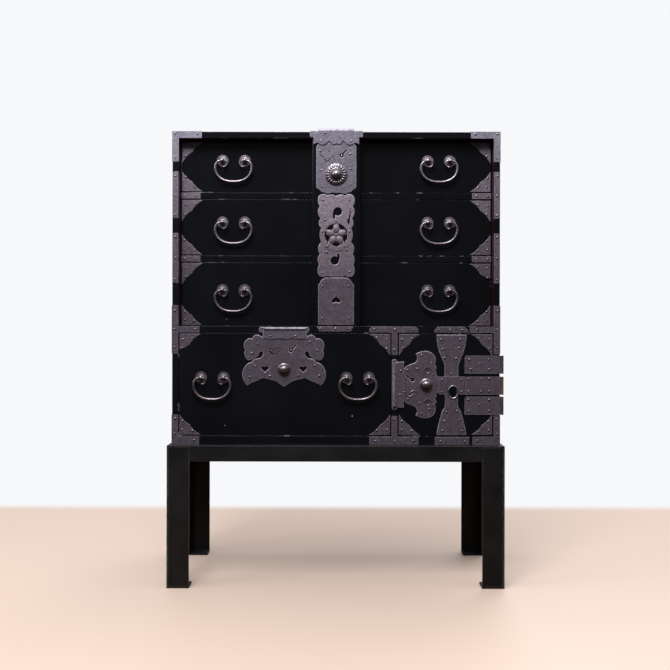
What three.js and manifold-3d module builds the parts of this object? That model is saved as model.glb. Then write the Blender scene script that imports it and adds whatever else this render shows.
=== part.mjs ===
// Iron-bound lacquer chest on an angle-iron stand. Millimetres, +Z up, the front faces -Y.
// The origin is on the floor, under the middle of the stand.
import * as THREE from "three";
import { mergeVertices } from "three/addons/utils/BufferGeometryUtils.js";
import Module from "manifold-3d";

const wasm = await Module();
wasm.setup();

// ---- Driving dimensions ----

const standWidth = 640;
const standDepth = 342;
const standHeight = 270;
const angleWall = 3;
const legWidth = 42;
const railHeight = 30;
const ledgeWidth = 30;
const footPlate = 4;

const chestWidth = 626;
const chestDepth = 316;
const frontSetback = 20; // stand front to chest front
const boardThickness = 12;
const bottomThickness = 17;
const backThickness = 8;

const lowerOpening = 197.5;
const thirdOpening = 124.5;
const secondOpening = 110.2;
const firstOpening = 100.8;
const upperRecess = 28; // upper drawers and shelves stand back from the chest front
const dividerLeft = 106; // left face of the divider, from the middle of the chest

const drawerGap = 1.2; // round a drawer front or a door
const runGap = 0.5; // under a drawer, and at both ends of the locking bar
const frontThickness = 15;
const boxWall = 8;
const boxBottom = 5;
const boxDrop = 8; // the box's rim is this much lower than the front
const boxSideGap = 0.8; // box side to the front board's end
const boxRearGap = 4;

const seat = 0.3; // an iron fitting to what carries it
const ironSheet = 1.5;
const flapSheet = 2;
const flapBarrelRadius = 2.6;
const hingeSheet = 2.2;
const hingeBarrelRadius = 3.1;
const hingePinRadius = 1.2;
const pinGap = 0.3; // a pin in its knuckle, and knuckle to knuckle

const bailRadius = 2.75;
const bailEndRadius = 1.9;
const bailBoreGap = 0.7; // a bail's thin end hangs loosely in its post
const bailSpan = 43; // between the two posts of a handle
const bailDrop = 41.2; // post to the middle of the rod at the bottom
const bailHalfWidth = 35.3; // to the middle of the rod at its widest
const postReach = 9.5; // drawer face to the pivot of the bail
const postHeadRadius = 4.3;
const rosetteRadius = 11.5;

const barHalfWidth = 47;
const barFaceHalfWidth = 40;
const barGap = 0.5; // locking bar to the drawer fronts behind it
const barKnobRadius = 21.8;
const knobRadius = 12.7;

const footPlateLift = 3; // foot plate of the bar above the lower shelf
const heartRise = 48.2; // its heart above its lower edge

const lockCase = { width: 54, height: 36, depth: 9 };
const casePocketGap = 0.4;

const topFlapHalf = 43.6;
const topBarrelHalf = 34.4;
const topFlapDrop = 25.4;
const topFlapWave = 1;
const topPlateHalf = 50.7;
const plateReach = 44; // iron that is bent over an edge reaches this far back from the chest front
const drawerFlapHalf = 42.7;
const drawerBarrelHalf = 39.5;
const doorFlapHalf = 44.2;
const doorBarrelHalf = 41;
const lowFlapDrop = 19.2;
const lowFlapWave = 0.3;
const haspStripHalf = 48.4;

const doorEdgeGap = 1.4; // the free edge swings a little outwards as the door opens
const doorHeightGap = 1.2;
const hingeHeight = 34.4;
const hingeKnuckleHalf = 5.8; // half the length of the middle knuckle's room
const hingeStandOff = 0.7; // barrel to the chest's side
const hingeStrapStart = 25.2; // left end of a hinge strap, right of the cross's middle
const doorPlateReach = 27.4; // middle of the door's knob to the right edge of its lock plate
const bandGap = 0.8; // the cross's band to the iron on either side
const crossTopMargin = 2.4;
const crossFootMargin = 1;
const compartmentShelfSheet = 8;
const compartmentShelfSetback = 42;

// ---- Levels and planes that follow from them ----

const standFront = -standDepth / 2;
const standBack = standDepth / 2;
const standRight = standWidth / 2;
const chestFront = standFront + frontSetback;
const chestBack = chestFront + chestDepth;
const recessFront = chestFront + upperRecess;
const backFront = chestBack - backThickness;
const chestRight = chestWidth / 2;
const innerRight = chestRight - boardThickness;

const bottomTop = standHeight + bottomThickness;
const lowerShelfUnder = bottomTop + lowerOpening;
const lowerShelfTop = lowerShelfUnder + boardThickness;
const middleShelfUnder = lowerShelfTop + thirdOpening;
const middleShelfTop = middleShelfUnder + boardThickness;
const upperShelfUnder = middleShelfTop + secondOpening;
const upperShelfTop = upperShelfUnder + boardThickness;
const topUnder = upperShelfTop + firstOpening;
const chestTop = topUnder + boardThickness;
const dividerRight = dividerLeft + boardThickness;

const sheetBack = chestFront - seat; // back of an iron sheet on the chest front
const sheetFront = sheetBack - ironSheet;

// ---- Finishes ----

const finish = {
  lacquer: () => new THREE.MeshStandardMaterial({ color: 0x0d0e12, roughness: 0.28 }),
  bareWood: () => new THREE.MeshStandardMaterial({ color: 0x9b7a52, roughness: 0.75 }),
  iron: () => new THREE.MeshStandardMaterial({ color: 0x5a4f55, roughness: 0.55, metalness: 0.8 }),
  steel: () => new THREE.MeshStandardMaterial({ color: 0x171516, roughness: 0.5, metalness: 0.3 }),
};

// ---- Solids ----

// A closed geometry as a solid that can be joined and cut.
function toSolid(geometry) {
  const bare = geometry.index ? geometry.toNonIndexed() : geometry.clone();
  bare.deleteAttribute("normal");
  bare.deleteAttribute("uv");
  const merged = mergeVertices(bare, 1e-4);
  return new wasm.Manifold(
    new wasm.Mesh({
      numProp: 3,
      vertProperties: merged.attributes.position.array,
      triVerts: new Uint32Array(merged.index.array),
    }),
  );
}

function toGeometry(solid) {
  const { vertProperties, triVerts } = solid.getMesh();
  const geometry = new THREE.BufferGeometry();
  geometry.setAttribute("position", new THREE.BufferAttribute(new Float32Array(vertProperties), 3));
  geometry.setIndex(new THREE.BufferAttribute(new Uint32Array(triVerts), 1));
  return geometry;
}

function join(first, ...others) {
  return toGeometry(others.reduce((sum, other) => sum.add(toSolid(other)), toSolid(first)));
}

function cut(geometry, ...tools) {
  return toGeometry(tools.reduce((rest, tool) => rest.subtract(toSolid(tool)), toSolid(geometry)));
}

// A box between two values along each axis. Boards that share a value meet exactly there.
function box([x0, x1], [y0, y1], [z0, z1]) {
  const geometry = new THREE.BoxGeometry(1, 1, 1);
  const corner = geometry.attributes.position;
  for (let i = 0; i < corner.count; i += 1) {
    const x = corner.getX(i) < 0 ? x0 : x1;
    const y = corner.getY(i) < 0 ? y0 : y1;
    const z = corner.getZ(i) < 0 ? z0 : z1;
    corner.setXYZ(i, x, y, z);
  }
  return geometry;
}

function byValue(a, b) {
  return a - b;
}

// A rod along X or Z, from one value to the other, round the point given in the other two axes.
function rodAlongX(radius, [x0, x1], y, z, sides = 12) {
  return new THREE.CylinderGeometry(radius, radius, x1 - x0, sides)
    .rotateZ(Math.PI / 2)
    .translate((x0 + x1) / 2, y, z);
}

function rodAlongZ(radius, x, y, [z0, z1], sides = 12) {
  return new THREE.CylinderGeometry(radius, radius, z1 - z0, sides)
    .rotateX(Math.PI / 2)
    .translate(x, y, (z0 + z1) / 2);
}

// A turned piece that stands out towards -Y: its profile is [radius, height] from seat to tip.
function turned(profile, sides) {
  const points = profile.map(([radius, height]) => new THREE.Vector2(radius, height));
  return new THREE.LatheGeometry(points, sides).rotateX(Math.PI);
}

// A sheet cut to an outline in X and Z, from y = 0 to y = -thickness, with any holes cut through it.
function sheet(shape, thickness, holes = [], curveSegments = 5) {
  const slab = (outline, depth) =>
    new THREE.ExtrudeGeometry(outline, { depth, bevelEnabled: false, curveSegments }).rotateX(Math.PI / 2);
  const punches = holes.map((hole) => slab(hole, thickness + 2).translate(0, 1, 0));
  return punches.length ? cut(slab(shape, thickness), ...punches) : slab(shape, thickness);
}

// An outline drawn on one side of a mirror line and closed on the other. Each move is a straight line
// to [x, z], or a curve [controlX, controlZ, x, z]. The first and last points lie on the line x = 0.
function mirroredOutline(start, moves) {
  const outline = new THREE.Shape();
  outline.moveTo(...start);
  for (const move of moves)
    if (move.length === 2) outline.lineTo(...move);
    else outline.quadraticCurveTo(...move);
  const ends = [start, ...moves.map((move) => move.slice(-2))];
  for (let i = moves.length - 1; i >= 0; i -= 1) {
    const [x, z] = ends[i];
    if (moves[i].length === 2) outline.lineTo(-x, z);
    else outline.quadraticCurveTo(-moves[i][0], moves[i][1], -x, z);
  }
  return outline;
}

const heartMoves = [
  [3.4, 3, 8.3, -0.8],
  [8.9, -6.2, 4.9, -6.2],
  [1.8, -6.2, 0, -3.9],
];

// A heart with its point up, moved and scaled. A negative scale turns the point down.
function heart(x, z, scale) {
  const points = mirroredOutline([0, 6.3], heartMoves).getPoints(4);
  return new THREE.Shape(points.map((p) => new THREE.Vector2(x + p.x * scale, z + p.y * scale)));
}

// A round hole with a narrow slot that leaves it at an angle.
function keyhole(x, z, angle, radius = 4.1, slotWidth = 2.6, slotReach = 15) {
  const half = Math.asin(slotWidth / 2 / radius);
  const path = new THREE.Shape();
  for (let i = 0; i <= 8; i += 1) {
    const turn = angle + half + (i / 8) * (2 * Math.PI - 2 * half);
    const point = [x + radius * Math.cos(turn), z + radius * Math.sin(turn)];
    if (i === 0) path.moveTo(...point);
    else path.lineTo(...point);
  }
  for (const side of [-1, 1])
    path.lineTo(
      x + slotReach * Math.cos(angle) - (side * slotWidth * Math.sin(angle)) / 2,
      z + slotReach * Math.sin(angle) + (side * slotWidth * Math.cos(angle)) / 2,
    );
  return path;
}

const armoire = new THREE.Group();

function part(name, geometry, material, place = [0, 0, 0]) {
  geometry.computeVertexNormals();
  const mesh = new THREE.Mesh(geometry, material);
  mesh.name = name;
  mesh.position.set(...place);
  armoire.add(mesh);
  return mesh;
}

// ---- Stand ----

function addStand() {
  const flangeTop = standHeight - angleWall;
  for (const [row, sideY] of [["front", -1], ["rear", 1]])
    for (const [column, sideX] of [["left", -1], ["right", 1]]) {
      const across = (near, far) => [sideX * (standRight - near), sideX * (standRight - far)].sort(byValue);
      const along = (near, far) => [sideY * (standBack - near), sideY * (standBack - far)].sort(byValue);
      const leg = join(
        box(across(0, legWidth), along(0, angleWall), [0, flangeTop]),
        box(across(0, angleWall), along(0, legWidth), [0, flangeTop]),
        box(across(0, legWidth), along(0, legWidth), [0, footPlate]),
      );
      part(`stand_leg_${row}_${column}`, leg, finish.steel());
    }

  const inner = standRight - ledgeWidth;
  const innerDeep = standBack - ledgeWidth;
  const ledge = cut(
    box([-standRight, standRight], [standFront, standBack], [flangeTop, standHeight]),
    box([-inner, inner], [-innerDeep, innerDeep], [flangeTop - 1, standHeight + 1]),
  );
  const height = [standHeight - railHeight, standHeight];
  const wide = [-standRight + legWidth, standRight - legWidth];
  const deep = [standFront + legWidth, standBack - legWidth];
  const rails = [
    box(wide, [standFront, standFront + angleWall], height),
    box(wide, [standBack - angleWall, standBack], height),
    box([-standRight, -standRight + angleWall], deep, height),
    box([standRight - angleWall, standRight], deep, height),
  ];
  part("stand_top_frame", join(ledge, ...rails), finish.steel());
}

// ---- Carcass ----

function addCarcass() {
  const full = [chestFront, chestBack];
  const between = [-innerRight, innerRight];
  const uprights = [standHeight, topUnder];
  const recessed = [recessFront, backFront];
  const flush = [chestFront, backFront];
  const board = (name, ...spans) => part(name, box(...spans), finish.lacquer());

  board("left_side_panel", [-chestRight, -innerRight], full, uprights);
  board("right_side_panel", [innerRight, chestRight], full, uprights);
  board("top_panel", [-chestRight, chestRight], full, [topUnder, chestTop]);
  board("bottom_panel", between, full, [standHeight, bottomTop]);
  board("back_panel", between, [backFront, chestBack], [bottomTop, topUnder]);
  board("upper_shelf", between, recessed, [upperShelfUnder, upperShelfTop]);
  board("middle_shelf", between, recessed, [middleShelfUnder, middleShelfTop]);
  board("lower_shelf", between, flush, [lowerShelfUnder, lowerShelfTop]);
  board("compartment_divider", [dividerLeft, dividerRight], flush, [bottomTop, lowerShelfUnder]);

  const middle = (bottomTop + lowerShelfUnder) / 2;
  const height = [middle - compartmentShelfSheet / 2, middle + compartmentShelfSheet / 2];
  const depth = [chestFront + compartmentShelfSetback, backFront];
  board("compartment_shelf", [dividerRight, innerRight], depth, height);
}

// ---- Handles ----

// A domed rosette with a ball-headed post through it; the post's head is bored across for the bail.
function handlePost() {
  const neck = 3.1;
  const profile = [
    [0, -1],
    [rosetteRadius, -1],
    [rosetteRadius, 0.6],
    [rosetteRadius - 2.6, 2.9],
    [neck, 4.6],
    [postHeadRadius, postReach - 1.8],
    [postHeadRadius, postReach + 1.8],
    [neck - 0.6, postReach + postHeadRadius - 0.4],
    [0, postReach + postHeadRadius],
  ];
  const bore = rodAlongX(bailEndRadius + bailBoreGap, [-rosetteRadius, rosetteRadius], -postReach, 0, 8);
  return cut(turned(profile, 9), bore);
}

function sweptRod(radius, points, steps, sides) {
  const corners = Array.from({ length: sides }, (_, i) => {
    const turn = (i / sides) * 2 * Math.PI;
    return new THREE.Vector2(radius * Math.cos(turn), radius * Math.sin(turn));
  });
  const extrudePath = new THREE.CatmullRomCurve3(points.map(([x, z]) => new THREE.Vector3(x, 0, z)));
  const settings = { extrudePath, steps, bevelEnabled: false };
  return new THREE.ExtrudeGeometry(new THREE.Shape(corners), settings);
}

// A bail hangs from its two posts: a stout rod below, thin ends through the posts, each ending in a curl.
function bail() {
  const post = bailSpan / 2;
  const shoulder = post + postHeadRadius + 0.8;
  const wide = bailHalfWidth;
  const drop = bailDrop;
  const right = [
    [shoulder, 0],
    [wide - 2.6, -4.6],
    [wide, -drop * 0.36],
    [wide - 3.6, -drop * 0.64],
    [wide * 0.62, -drop * 0.88],
    [wide * 0.28, -drop * 0.985],
  ];
  const left = right.map(([x, z]) => [-x, z]).reverse();
  const rod = sweptRod(bailRadius, [...right, [0, -drop], ...left], 20, 7);
  const ends = [-1, 1].map((side) => {
    const curl = [
      [post + postHeadRadius + 2.4, 0],
      [post, 0],
      [post - postHeadRadius - 0.4, 0],
      [post - 8.3, -2.2],
      [post - 9.2, -6.2],
      [post - 6.8, -10.6],
      [post - 1.2, -12.2],
    ];
    return sweptRod(bailEndRadius, curl.map(([x, z]) => [side * x, z]), 9, 6);
  });
  return join(rod, ...ends);
}

// ---- Drawers ----

// A drawer fills an opening: its front board carries the handle posts, and its box runs behind it.
function addDrawer(name, [x0, x1], [z0, z1], face, handles, handleHeight, pocket) {
  const height = [z0 + runGap, z1 - drawerGap];
  const boardBack = face + frontThickness;
  let front = box([x0 + drawerGap, x1 - drawerGap], [face, boardBack], height);
  for (const x of handles)
    for (const side of [-1, 1])
      front = join(front, handlePost().translate(x + (side * bailSpan) / 2, face, handleHeight));
  if (pocket) front = cut(front, pocket);
  part(`${name}_front`, front, finish.lacquer());

  const outer = [x0 + drawerGap + boxSideGap, x1 - drawerGap - boxSideGap];
  const depth = [boardBack, backFront - boxRearGap];
  const rim = z1 - drawerGap - boxDrop;
  const block = box(outer, depth, [height[0], rim]);
  const hollow = box(
    [outer[0] + boxWall, outer[1] - boxWall],
    [depth[0] + boxWall, depth[1] - boxWall],
    [height[0] + boxBottom, rim + 1],
  );
  part(`${name}_box`, cut(block, hollow), finish.bareWood());

  handles.forEach((x, i) => {
    const place = [x, face - postReach, handleHeight];
    part(`${name}_bail_${i === 0 ? "left" : "right"}`, bail(), finish.iron(), place);
  });
}

const upperHandles = [-198.5, 198.5];
const lowerHandles = [-236, 42];
const lockX = -99; // lock of the large drawer
const lowerLockZ = bottomTop + 127;

function addDrawers() {
  // Each upper drawer: the shelf that it runs on, what is over it, and its handles' height on that shelf.
  const upper = {
    drawer_1: [upperShelfTop, topUnder, 61.1],
    drawer_2: [middleShelfTop, upperShelfUnder, 64.1],
    drawer_3: [lowerShelfTop, middleShelfUnder, 69.6],
  };
  for (const [name, [under, over, rise]] of Object.entries(upper))
    addDrawer(name, [-innerRight, innerRight], [under, over], recessFront, upperHandles, under + rise);
  const pocket = casePocket(lockX, chestFront, lowerLockZ + lowerCaseRise);
  const low = [bottomTop, lowerShelfUnder];
  addDrawer("drawer_4", [-innerRight, dividerLeft], low, chestFront, lowerHandles, bottomTop + 111, pocket);
}

// ---- Locks ----

const lowerCaseRise = 34; // middle of the case above the knob
const barCaseRise = 36;
const doorCaseShift = -24; // the door's case lies towards its free edge

function caseBox(x, face, z, grow) {
  const halfWidth = lockCase.width / 2 + grow;
  const halfHeight = lockCase.height / 2 + grow;
  const depth = [face + seat - grow, face + lockCase.depth + grow];
  return box([x - halfWidth, x + halfWidth], depth, [z - halfHeight, z + halfHeight]);
}

function casePocket(x, face, z) {
  return caseBox(x, face, z, casePocketGap);
}

// A domed knob on a spreading flange.
function knob(flange, dome, height) {
  const profile = [
    [0, 0],
    [flange, 0],
    [flange - 0.8, 1.4],
    [dome + 2.2, 3.4],
    [dome, 4.6],
    [dome * 0.93, height * 0.62],
    [dome * 0.62, height * 0.87],
    [0, height],
  ];
  return turned(profile, 16);
}

const cloudMoves = [
  [43, 62.5],
  [51, 69, 57.5, 64],
  [61, 61.5, 61.2, 58.2],
  [67, 61.5, 72.5, 56],
  [78.5, 50, 76.8, 41.5],
  [76, 38, 73.6, 36.6],
  [77.5, 32, 75, 25],
  [71.5, 16, 64.5, 17.2],
  [57, 19, 50, 25.4],
  [47.6, 27.5, 48.2, 31],
  [44, 36.5, 40.6, 33],
  [38.8, 28, 43, 23.8],
  [46, 20.8, 52, 20.4],
  [58.5, 19.4, 61.6, 14],
  [70.5, 12.5, 76, 4],
  [82, -6, 79, -17],
  [76.5, -25, 69.8, -31.5],
  [66, -27.5, 58, -24.2],
  [48, -21.5, 42.8, -17],
  [36, -16.5, 28, -19.5],
  [14, -22, 9.5, -27.5],
  [5, -31, 0, -33],
];

function addDrawerLock() {
  const cloud = mirroredOutline([0, 62.5], cloudMoves);
  const holes = [keyhole(13, 36.4, Math.PI / 4), heart(-36.5, 0.4, -0.88), heart(36.5, 0.4, -0.88)];
  const face = [lockX, sheetBack, lowerLockZ];
  part("drawer_4_lock_plate", sheet(cloud, ironSheet, holes), finish.iron(), face);
  const lockBody = caseBox(lockX, chestFront, lowerLockZ + lowerCaseRise, 0);
  part("drawer_4_lock_case", lockBody, finish.iron());
  const tip = [lockX, sheetFront - seat, lowerLockZ];
  part("drawer_4_knob", knob(knobRadius, 9.4, 12), finish.iron(), tip);
}

// ---- Locking bar ----

const barKnobZ = upperShelfTop + 31;
const crestZ = lowerShelfTop + 174.4;

const barLockMoves = [
  [33.6, 65.8],
  [33.6, 58.6],
  [38.4, 57, 38.4, 50.5],
  [38.4, -19],
  [38.4, -26, 36.5, -26.5],
  [30, -29.5, 29, -33.5],
  [24.4, -33.5],
  [18, -38.2, 11, -35.4],
  [5, -34, 0, -36],
];
const crestMoves = [
  [9, 80.2, 17.2, 74.9],
  [20, 78.5, 26, 78.2],
  [35, 77, 35.3, 67],
  [35.5, 59, 31.1, 54.7],
  [35.5, 50, 34.8, 43.5],
  [34.5, 36, 29.8, 31.6],
  [34, 26, 33, 20],
  [32, 16, 28.6, 14],
  [35, 0, 28.6, -14],
  [33.8, -18, 34.3, -25],
  [34, -33, 31.1, -36.6],
  [35.5, -41, 35.2, -47.5],
  [34.5, -54, 32.5, -57.7],
  [36, -63, 35.2, -69.5],
  [34, -80, 26, -80.3],
  [21, -80.3, 18, -78],
  [9, -81, 0, -79],
];
const barFootMoves = [
  [19.5, 90],
  [27, 87.5, 29.5, 83],
  [30.5, 79, 34.2, 76.5],
  [34.2, 0],
  [0, 0],
];

// A comma-shaped hole: a round head with a narrow tail that hangs from one side.
function comma(x, z, turn) {
  const head = 8.2;
  const [start, sweep, steps] = [2.9, 5.1, 14];
  const path = new THREE.Shape();
  const spin = (a, b) => [x + turn * a, z + turn * b];
  const onHead = (angle) => spin(head * Math.cos(angle), head * Math.sin(angle));
  path.moveTo(...spin(-5.5, -13.3));
  path.lineTo(...spin(-9.4, -13.3));
  path.quadraticCurveTo(...spin(-10.2, -4.5), ...onHead(start));
  for (let i = 1; i <= steps; i += 1) {
    path.lineTo(...onHead(start - (i * sweep) / steps));
  }
  return path;
}

// The gaps between a five-petalled flower and the ring around it, one for each pair of petals.
function medallionHoles(ringRadius) {
  return Array.from({ length: 5 }, (_, i) => {
    const middle = Math.PI / 2 + Math.PI / 5 + (i * 2 * Math.PI) / 5;
    const at = (radius, turn) => [radius * Math.cos(middle + turn), radius * Math.sin(middle + turn)];
    const spread = 0.5;
    const path = new THREE.Shape();
    path.moveTo(...at(ringRadius, -spread));
    path.lineTo(...at(ringRadius + 0.3, 0));
    path.lineTo(...at(ringRadius, spread));
    path.quadraticCurveTo(...at(16.5, 0.25), ...at(12, 0));
    path.quadraticCurveTo(...at(16.5, -0.25), ...at(ringRadius, -spread));
    return path;
  });
}

function addLockingBar() {
  const thickness = upperRecess - barGap;
  const moulding = mirroredOutline([0, 0], [
    [barHalfWidth, 0],
    [barHalfWidth, thickness - 7.5],
    [barHalfWidth - 0.6, thickness - 3, barHalfWidth - 3.4, thickness - 2.8],
    [barFaceHalfWidth + 0.8, thickness - 2.6],
    [barFaceHalfWidth, thickness],
    [0, thickness],
  ]);
  const bottom = lowerShelfTop + runGap;
  const length = topUnder - runGap - bottom;
  const board = new THREE.ExtrudeGeometry(moulding, { depth: length, bevelEnabled: false, curveSegments: 3 })
    .scale(1, -1, 1)
    .translate(0, recessFront - barGap, bottom);
  flipFaces(board);
  const caseZ = barKnobZ + barCaseRise;
  part("locking_bar_board", cut(board, casePocket(0, chestFront, caseZ)), finish.lacquer());
  part("locking_bar_lock_case", caseBox(0, chestFront, caseZ, 0), finish.iron());

  const lockPlate = mirroredOutline([0, 65.8], barLockMoves);
  const lockSheet = sheet(lockPlate, ironSheet, [keyhole(10, 36.4, 0.84)]);
  part("locking_bar_lock_plate", lockSheet, finish.iron(), [0, sheetBack, barKnobZ]);
  part("locking_bar_knob", knob(barKnobRadius, 10.8, 13.5), finish.iron(), [0, sheetFront - seat, barKnobZ]);

  const crest = mirroredOutline([0, 74.1], crestMoves);
  const pierced = [comma(2.9, 44.6, 1), comma(-2.9, -48.8, -1), ...medallionHoles(21.8)];
  part("locking_bar_crest_plate", sheet(crest, ironSheet, pierced), finish.iron(), [0, sheetBack, crestZ]);

  const foot = mirroredOutline([0, 90], barFootMoves);
  const footSheet = sheet(foot, ironSheet, [heart(0, heartRise, 1)]);
  part("locking_bar_foot_plate", footSheet, finish.iron(), [0, sheetBack, lowerShelfTop + footPlateLift]);
}

// A mirrored geometry has its faces turned back outwards.
function flipFaces(geometry) {
  const flat = geometry.attributes.position;
  for (let i = 0; i < flat.count; i += 3) {
    const held = new THREE.Vector3().fromBufferAttribute(flat, i + 1);
    flat.setXYZ(i + 1, flat.getX(i + 2), flat.getY(i + 2), flat.getZ(i + 2));
    flat.setXYZ(i + 2, held.x, held.y, held.z);
  }
}

// ---- Hasps ----

// A flap hangs from a rolled barrel along x = -half...half and ends in an edge that waves about the drop.
function flap(half, barrelHalf, drop, wave, barrelBehind) {
  const edge = (dip) => -drop - dip * wave;
  const outline = mirroredOutline([0, 0], [
    [barrelHalf, 0],
    [barrelHalf, -1.4],
    [half - 1, -6.4],
    [half, edge(2.1)],
    [half - 5, edge(-1.9), half - 10.2, edge(0)],
    [half - 16.6, edge(5.6), half - 23, edge(1.1)],
    [half - 26, edge(-0.4), half - 29.4, edge(-5.4)],
    [half - 32, edge(-3.9), half - 33.6, edge(-0.9)],
    [half - 38, edge(4.6), 0, edge(0)],
  ]);
  const plate = sheet(outline, flapSheet).translate(0, barrelBehind, 0);
  return join(plate, rodAlongX(flapBarrelRadius, [-barrelHalf, barrelHalf], 0, 0, 12));
}

function addHasps() {
  // Bar hasp: its barrel lies along the chest's top front edge, level with the top of a bent plate.
  const flapBack = sheetFront - seat;
  const barrelY = flapBack - flapSheet + flapBarrelRadius;
  const barrelZ = chestTop + seat + flapBarrelRadius;
  const topFlap = flap(topFlapHalf, topBarrelHalf, topFlapDrop, topFlapWave, flapBack - barrelY);
  part("top_hasp_flap", topFlap, finish.iron(), [0, barrelY, barrelZ]);
  const wide = [-topPlateHalf, topPlateHalf];
  const plateTop = chestTop + seat + ironSheet;
  const bent = join(
    box(wide, [sheetFront, sheetBack], [topUnder + ironSheet, plateTop]),
    box(wide, [sheetFront, chestFront + plateReach], [chestTop + seat, plateTop]),
  );
  const clear = flapBarrelRadius + seat;
  const room = topBarrelHalf + seat;
  const notch = box([-room, room], [sheetFront - 1, barrelY + clear], [chestTop + seat / 2, plateTop + 1]);
  part("top_hasp_plate", cut(bent, notch), finish.iron());

  // Drawer hasp: a strip with rounded ends on the lower shelf's edge, its flap over the drawer's lock.
  const stripEnd = boardThickness / 2 - 1;
  const stripZ = (lowerShelfUnder + lowerShelfTop) / 2 - 0.8;
  const strip = mirroredOutline([0, stripEnd], [
    [haspStripHalf - stripEnd, stripEnd],
    [haspStripHalf, stripEnd, haspStripHalf, 0],
    [haspStripHalf, -stripEnd, haspStripHalf - stripEnd, -stripEnd],
    [0, -stripEnd],
  ]);
  part("drawer_hasp_plate", sheet(strip, ironSheet), finish.iron(), [lockX, sheetBack, stripZ]);
  const frontBarrelY = flapBack - flapBarrelRadius;
  const lowFlapZ = lowerShelfTop - 1.8 - flapBarrelRadius;
  const drawerFlap = flap(drawerFlapHalf, drawerBarrelHalf, lowFlapDrop, lowFlapWave, flapBarrelRadius);
  part("drawer_hasp_flap", drawerFlap, finish.iron(), [lockX + 1.6, frontBarrelY, lowFlapZ]);

  // Door hasp: a strip on the divider's edge, its flap turned to hang sideways over the door's lock.
  const upright = strip.clone();
  const sideStrip = sheet(upright, ironSheet).rotateY(Math.PI / 2);
  part("door_hasp_plate", sideStrip, finish.iron(), [(dividerLeft + dividerRight) / 2, sheetBack, doorLockZ]);
  const sideBarrelX = dividerLeft + 2 + flapBarrelRadius;
  const doorFlap = flap(doorFlapHalf, doorBarrelHalf, lowFlapDrop, lowFlapWave, flapBarrelRadius);
  doorFlap.rotateY(-Math.PI / 2);
  part("door_hasp_flap", doorFlap, finish.iron(), [sideBarrelX, frontBarrelY, doorLockZ]);
}

// ---- Door ----

const doorLockX = 172.3;
const doorLockZ = bottomTop + 98.3;
const crossX = 220.8;
const hingeZs = { top: bottomTop + 136.9, middle: bottomTop + 96.7, bottom: bottomTop + 58.5 };
const hingeX = chestRight + hingeStandOff + hingeBarrelRadius;
const hingeY = sheetBack - hingeBarrelRadius;

const doorCloudMoves = [
  [31.6, 46],
  [32.4, 41],
  [36.4, 39.4, 37.4, 36],
  [41, 29, 43, 21.5],
  [47.5, 16.2, 54.5, 17.4],
  [57.5, 18, 60.6, 20.2],
  [66, 12, 66.6, 3],
  [67.4, -6, 61, -13],
  [55.5, -18.8, 47, -18.6],
  [42.5, -18.4, 39.4, -15.8],
  [36.5, -20.6, 33, -19.6],
  [29.8, -19.2, 28, -17],
  [24.5, -20.8, 18.6, -19.4],
  [14, -26.2, 6, -26.6],
  [3, -27.2, 0, -27.2],
];

function addDoor() {
  const inside = [dividerRight + doorEdgeGap, innerRight - doorEdgeGap];
  const height = [bottomTop + doorHeightGap, lowerShelfUnder - doorHeightGap];
  const panel = box(inside, [chestFront, chestFront + frontThickness], height);
  const pocket = casePocket(doorLockX + doorCaseShift + lockCase.width / 4, chestFront, doorLockZ);
  part("door_panel", cut(panel, pocket), finish.lacquer());
  const lockBody = caseBox(doorLockX + doorCaseShift + lockCase.width / 4, chestFront, doorLockZ, 0);
  part("door_lock_case", lockBody, finish.iron());

  // The lock plate is mirrored top to bottom: it is drawn on its side and turned.
  const cloud = mirroredOutline([0, 46], doorCloudMoves);
  const plate = sheet(cloud, ironSheet, [keyhole(9.7, 26.3, 0.95)]).rotateY(-Math.PI / 2);
  part("door_lock_plate", plate, finish.iron(), [doorLockX, sheetBack, doorLockZ]);
  const tip = [doorLockX, sheetFront - seat, doorLockZ];
  part("door_knob", knob(knobRadius, 9.4, 12), finish.iron(), tip);

  // A cross of one band and one waisted upright, with an oval hole where they meet.
  const middle = hingeZs.middle;
  const bandHalf = hingeHeight / 2;
  const top = lowerShelfUnder - doorHeightGap - crossTopMargin - middle;
  const foot = bottomTop + doorHeightGap + crossFootMargin - middle;
  const upright = mirroredOutline([0, top], [
    [28.6, top],
    [28.4, top - 14, 26, top - 24],
    [22, top - 39, 16.5, top - 50],
    [13.2, top - 56, 13.1, top - 64],
    [13.1, 0],
    [12.3, 0],
    [12.3, -bandHalf - 18],
    [12.8, -bandHalf - 27, 17, -bandHalf - 30],
    [20.5, -bandHalf - 39, 23, -bandHalf - 50],
    [27, -bandHalf - 65, 28.6, foot],
    [0, foot],
  ]);
  const bandLeft = doorLockX + doorPlateReach + bandGap - crossX;
  const bandRight = hingeStrapStart - bandGap;
  const band = box([bandLeft, bandRight], [-ironSheet, 0], [-bandHalf, bandHalf]);
  const eyelet = { x: 2.8, z: -12.2, wide: 10.2, high: 13, lip: 2.2 };
  const oval = (shrink) => {
    const path = new THREE.Shape();
    path.absellipse(eyelet.x, eyelet.z, eyelet.wide - shrink, eyelet.high - shrink, 0, 2 * Math.PI);
    return path;
  };
  const bore = sheet(oval(eyelet.lip), ironSheet + 2, [], 6).translate(0, 1, 0);
  const cross = cut(join(sheet(upright, ironSheet), band), bore);
  part("door_cross_strap", cross, finish.iron(), [crossX, sheetBack, middle]);
  const rim = sheet(oval(0), 2, [oval(eyelet.lip)], 6);
  part("door_eyelet", rim, finish.iron(), [crossX, sheetFront - seat, middle]);

  for (const [name, z] of Object.entries(hingeZs)) addHinge(name, z);
}

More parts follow.
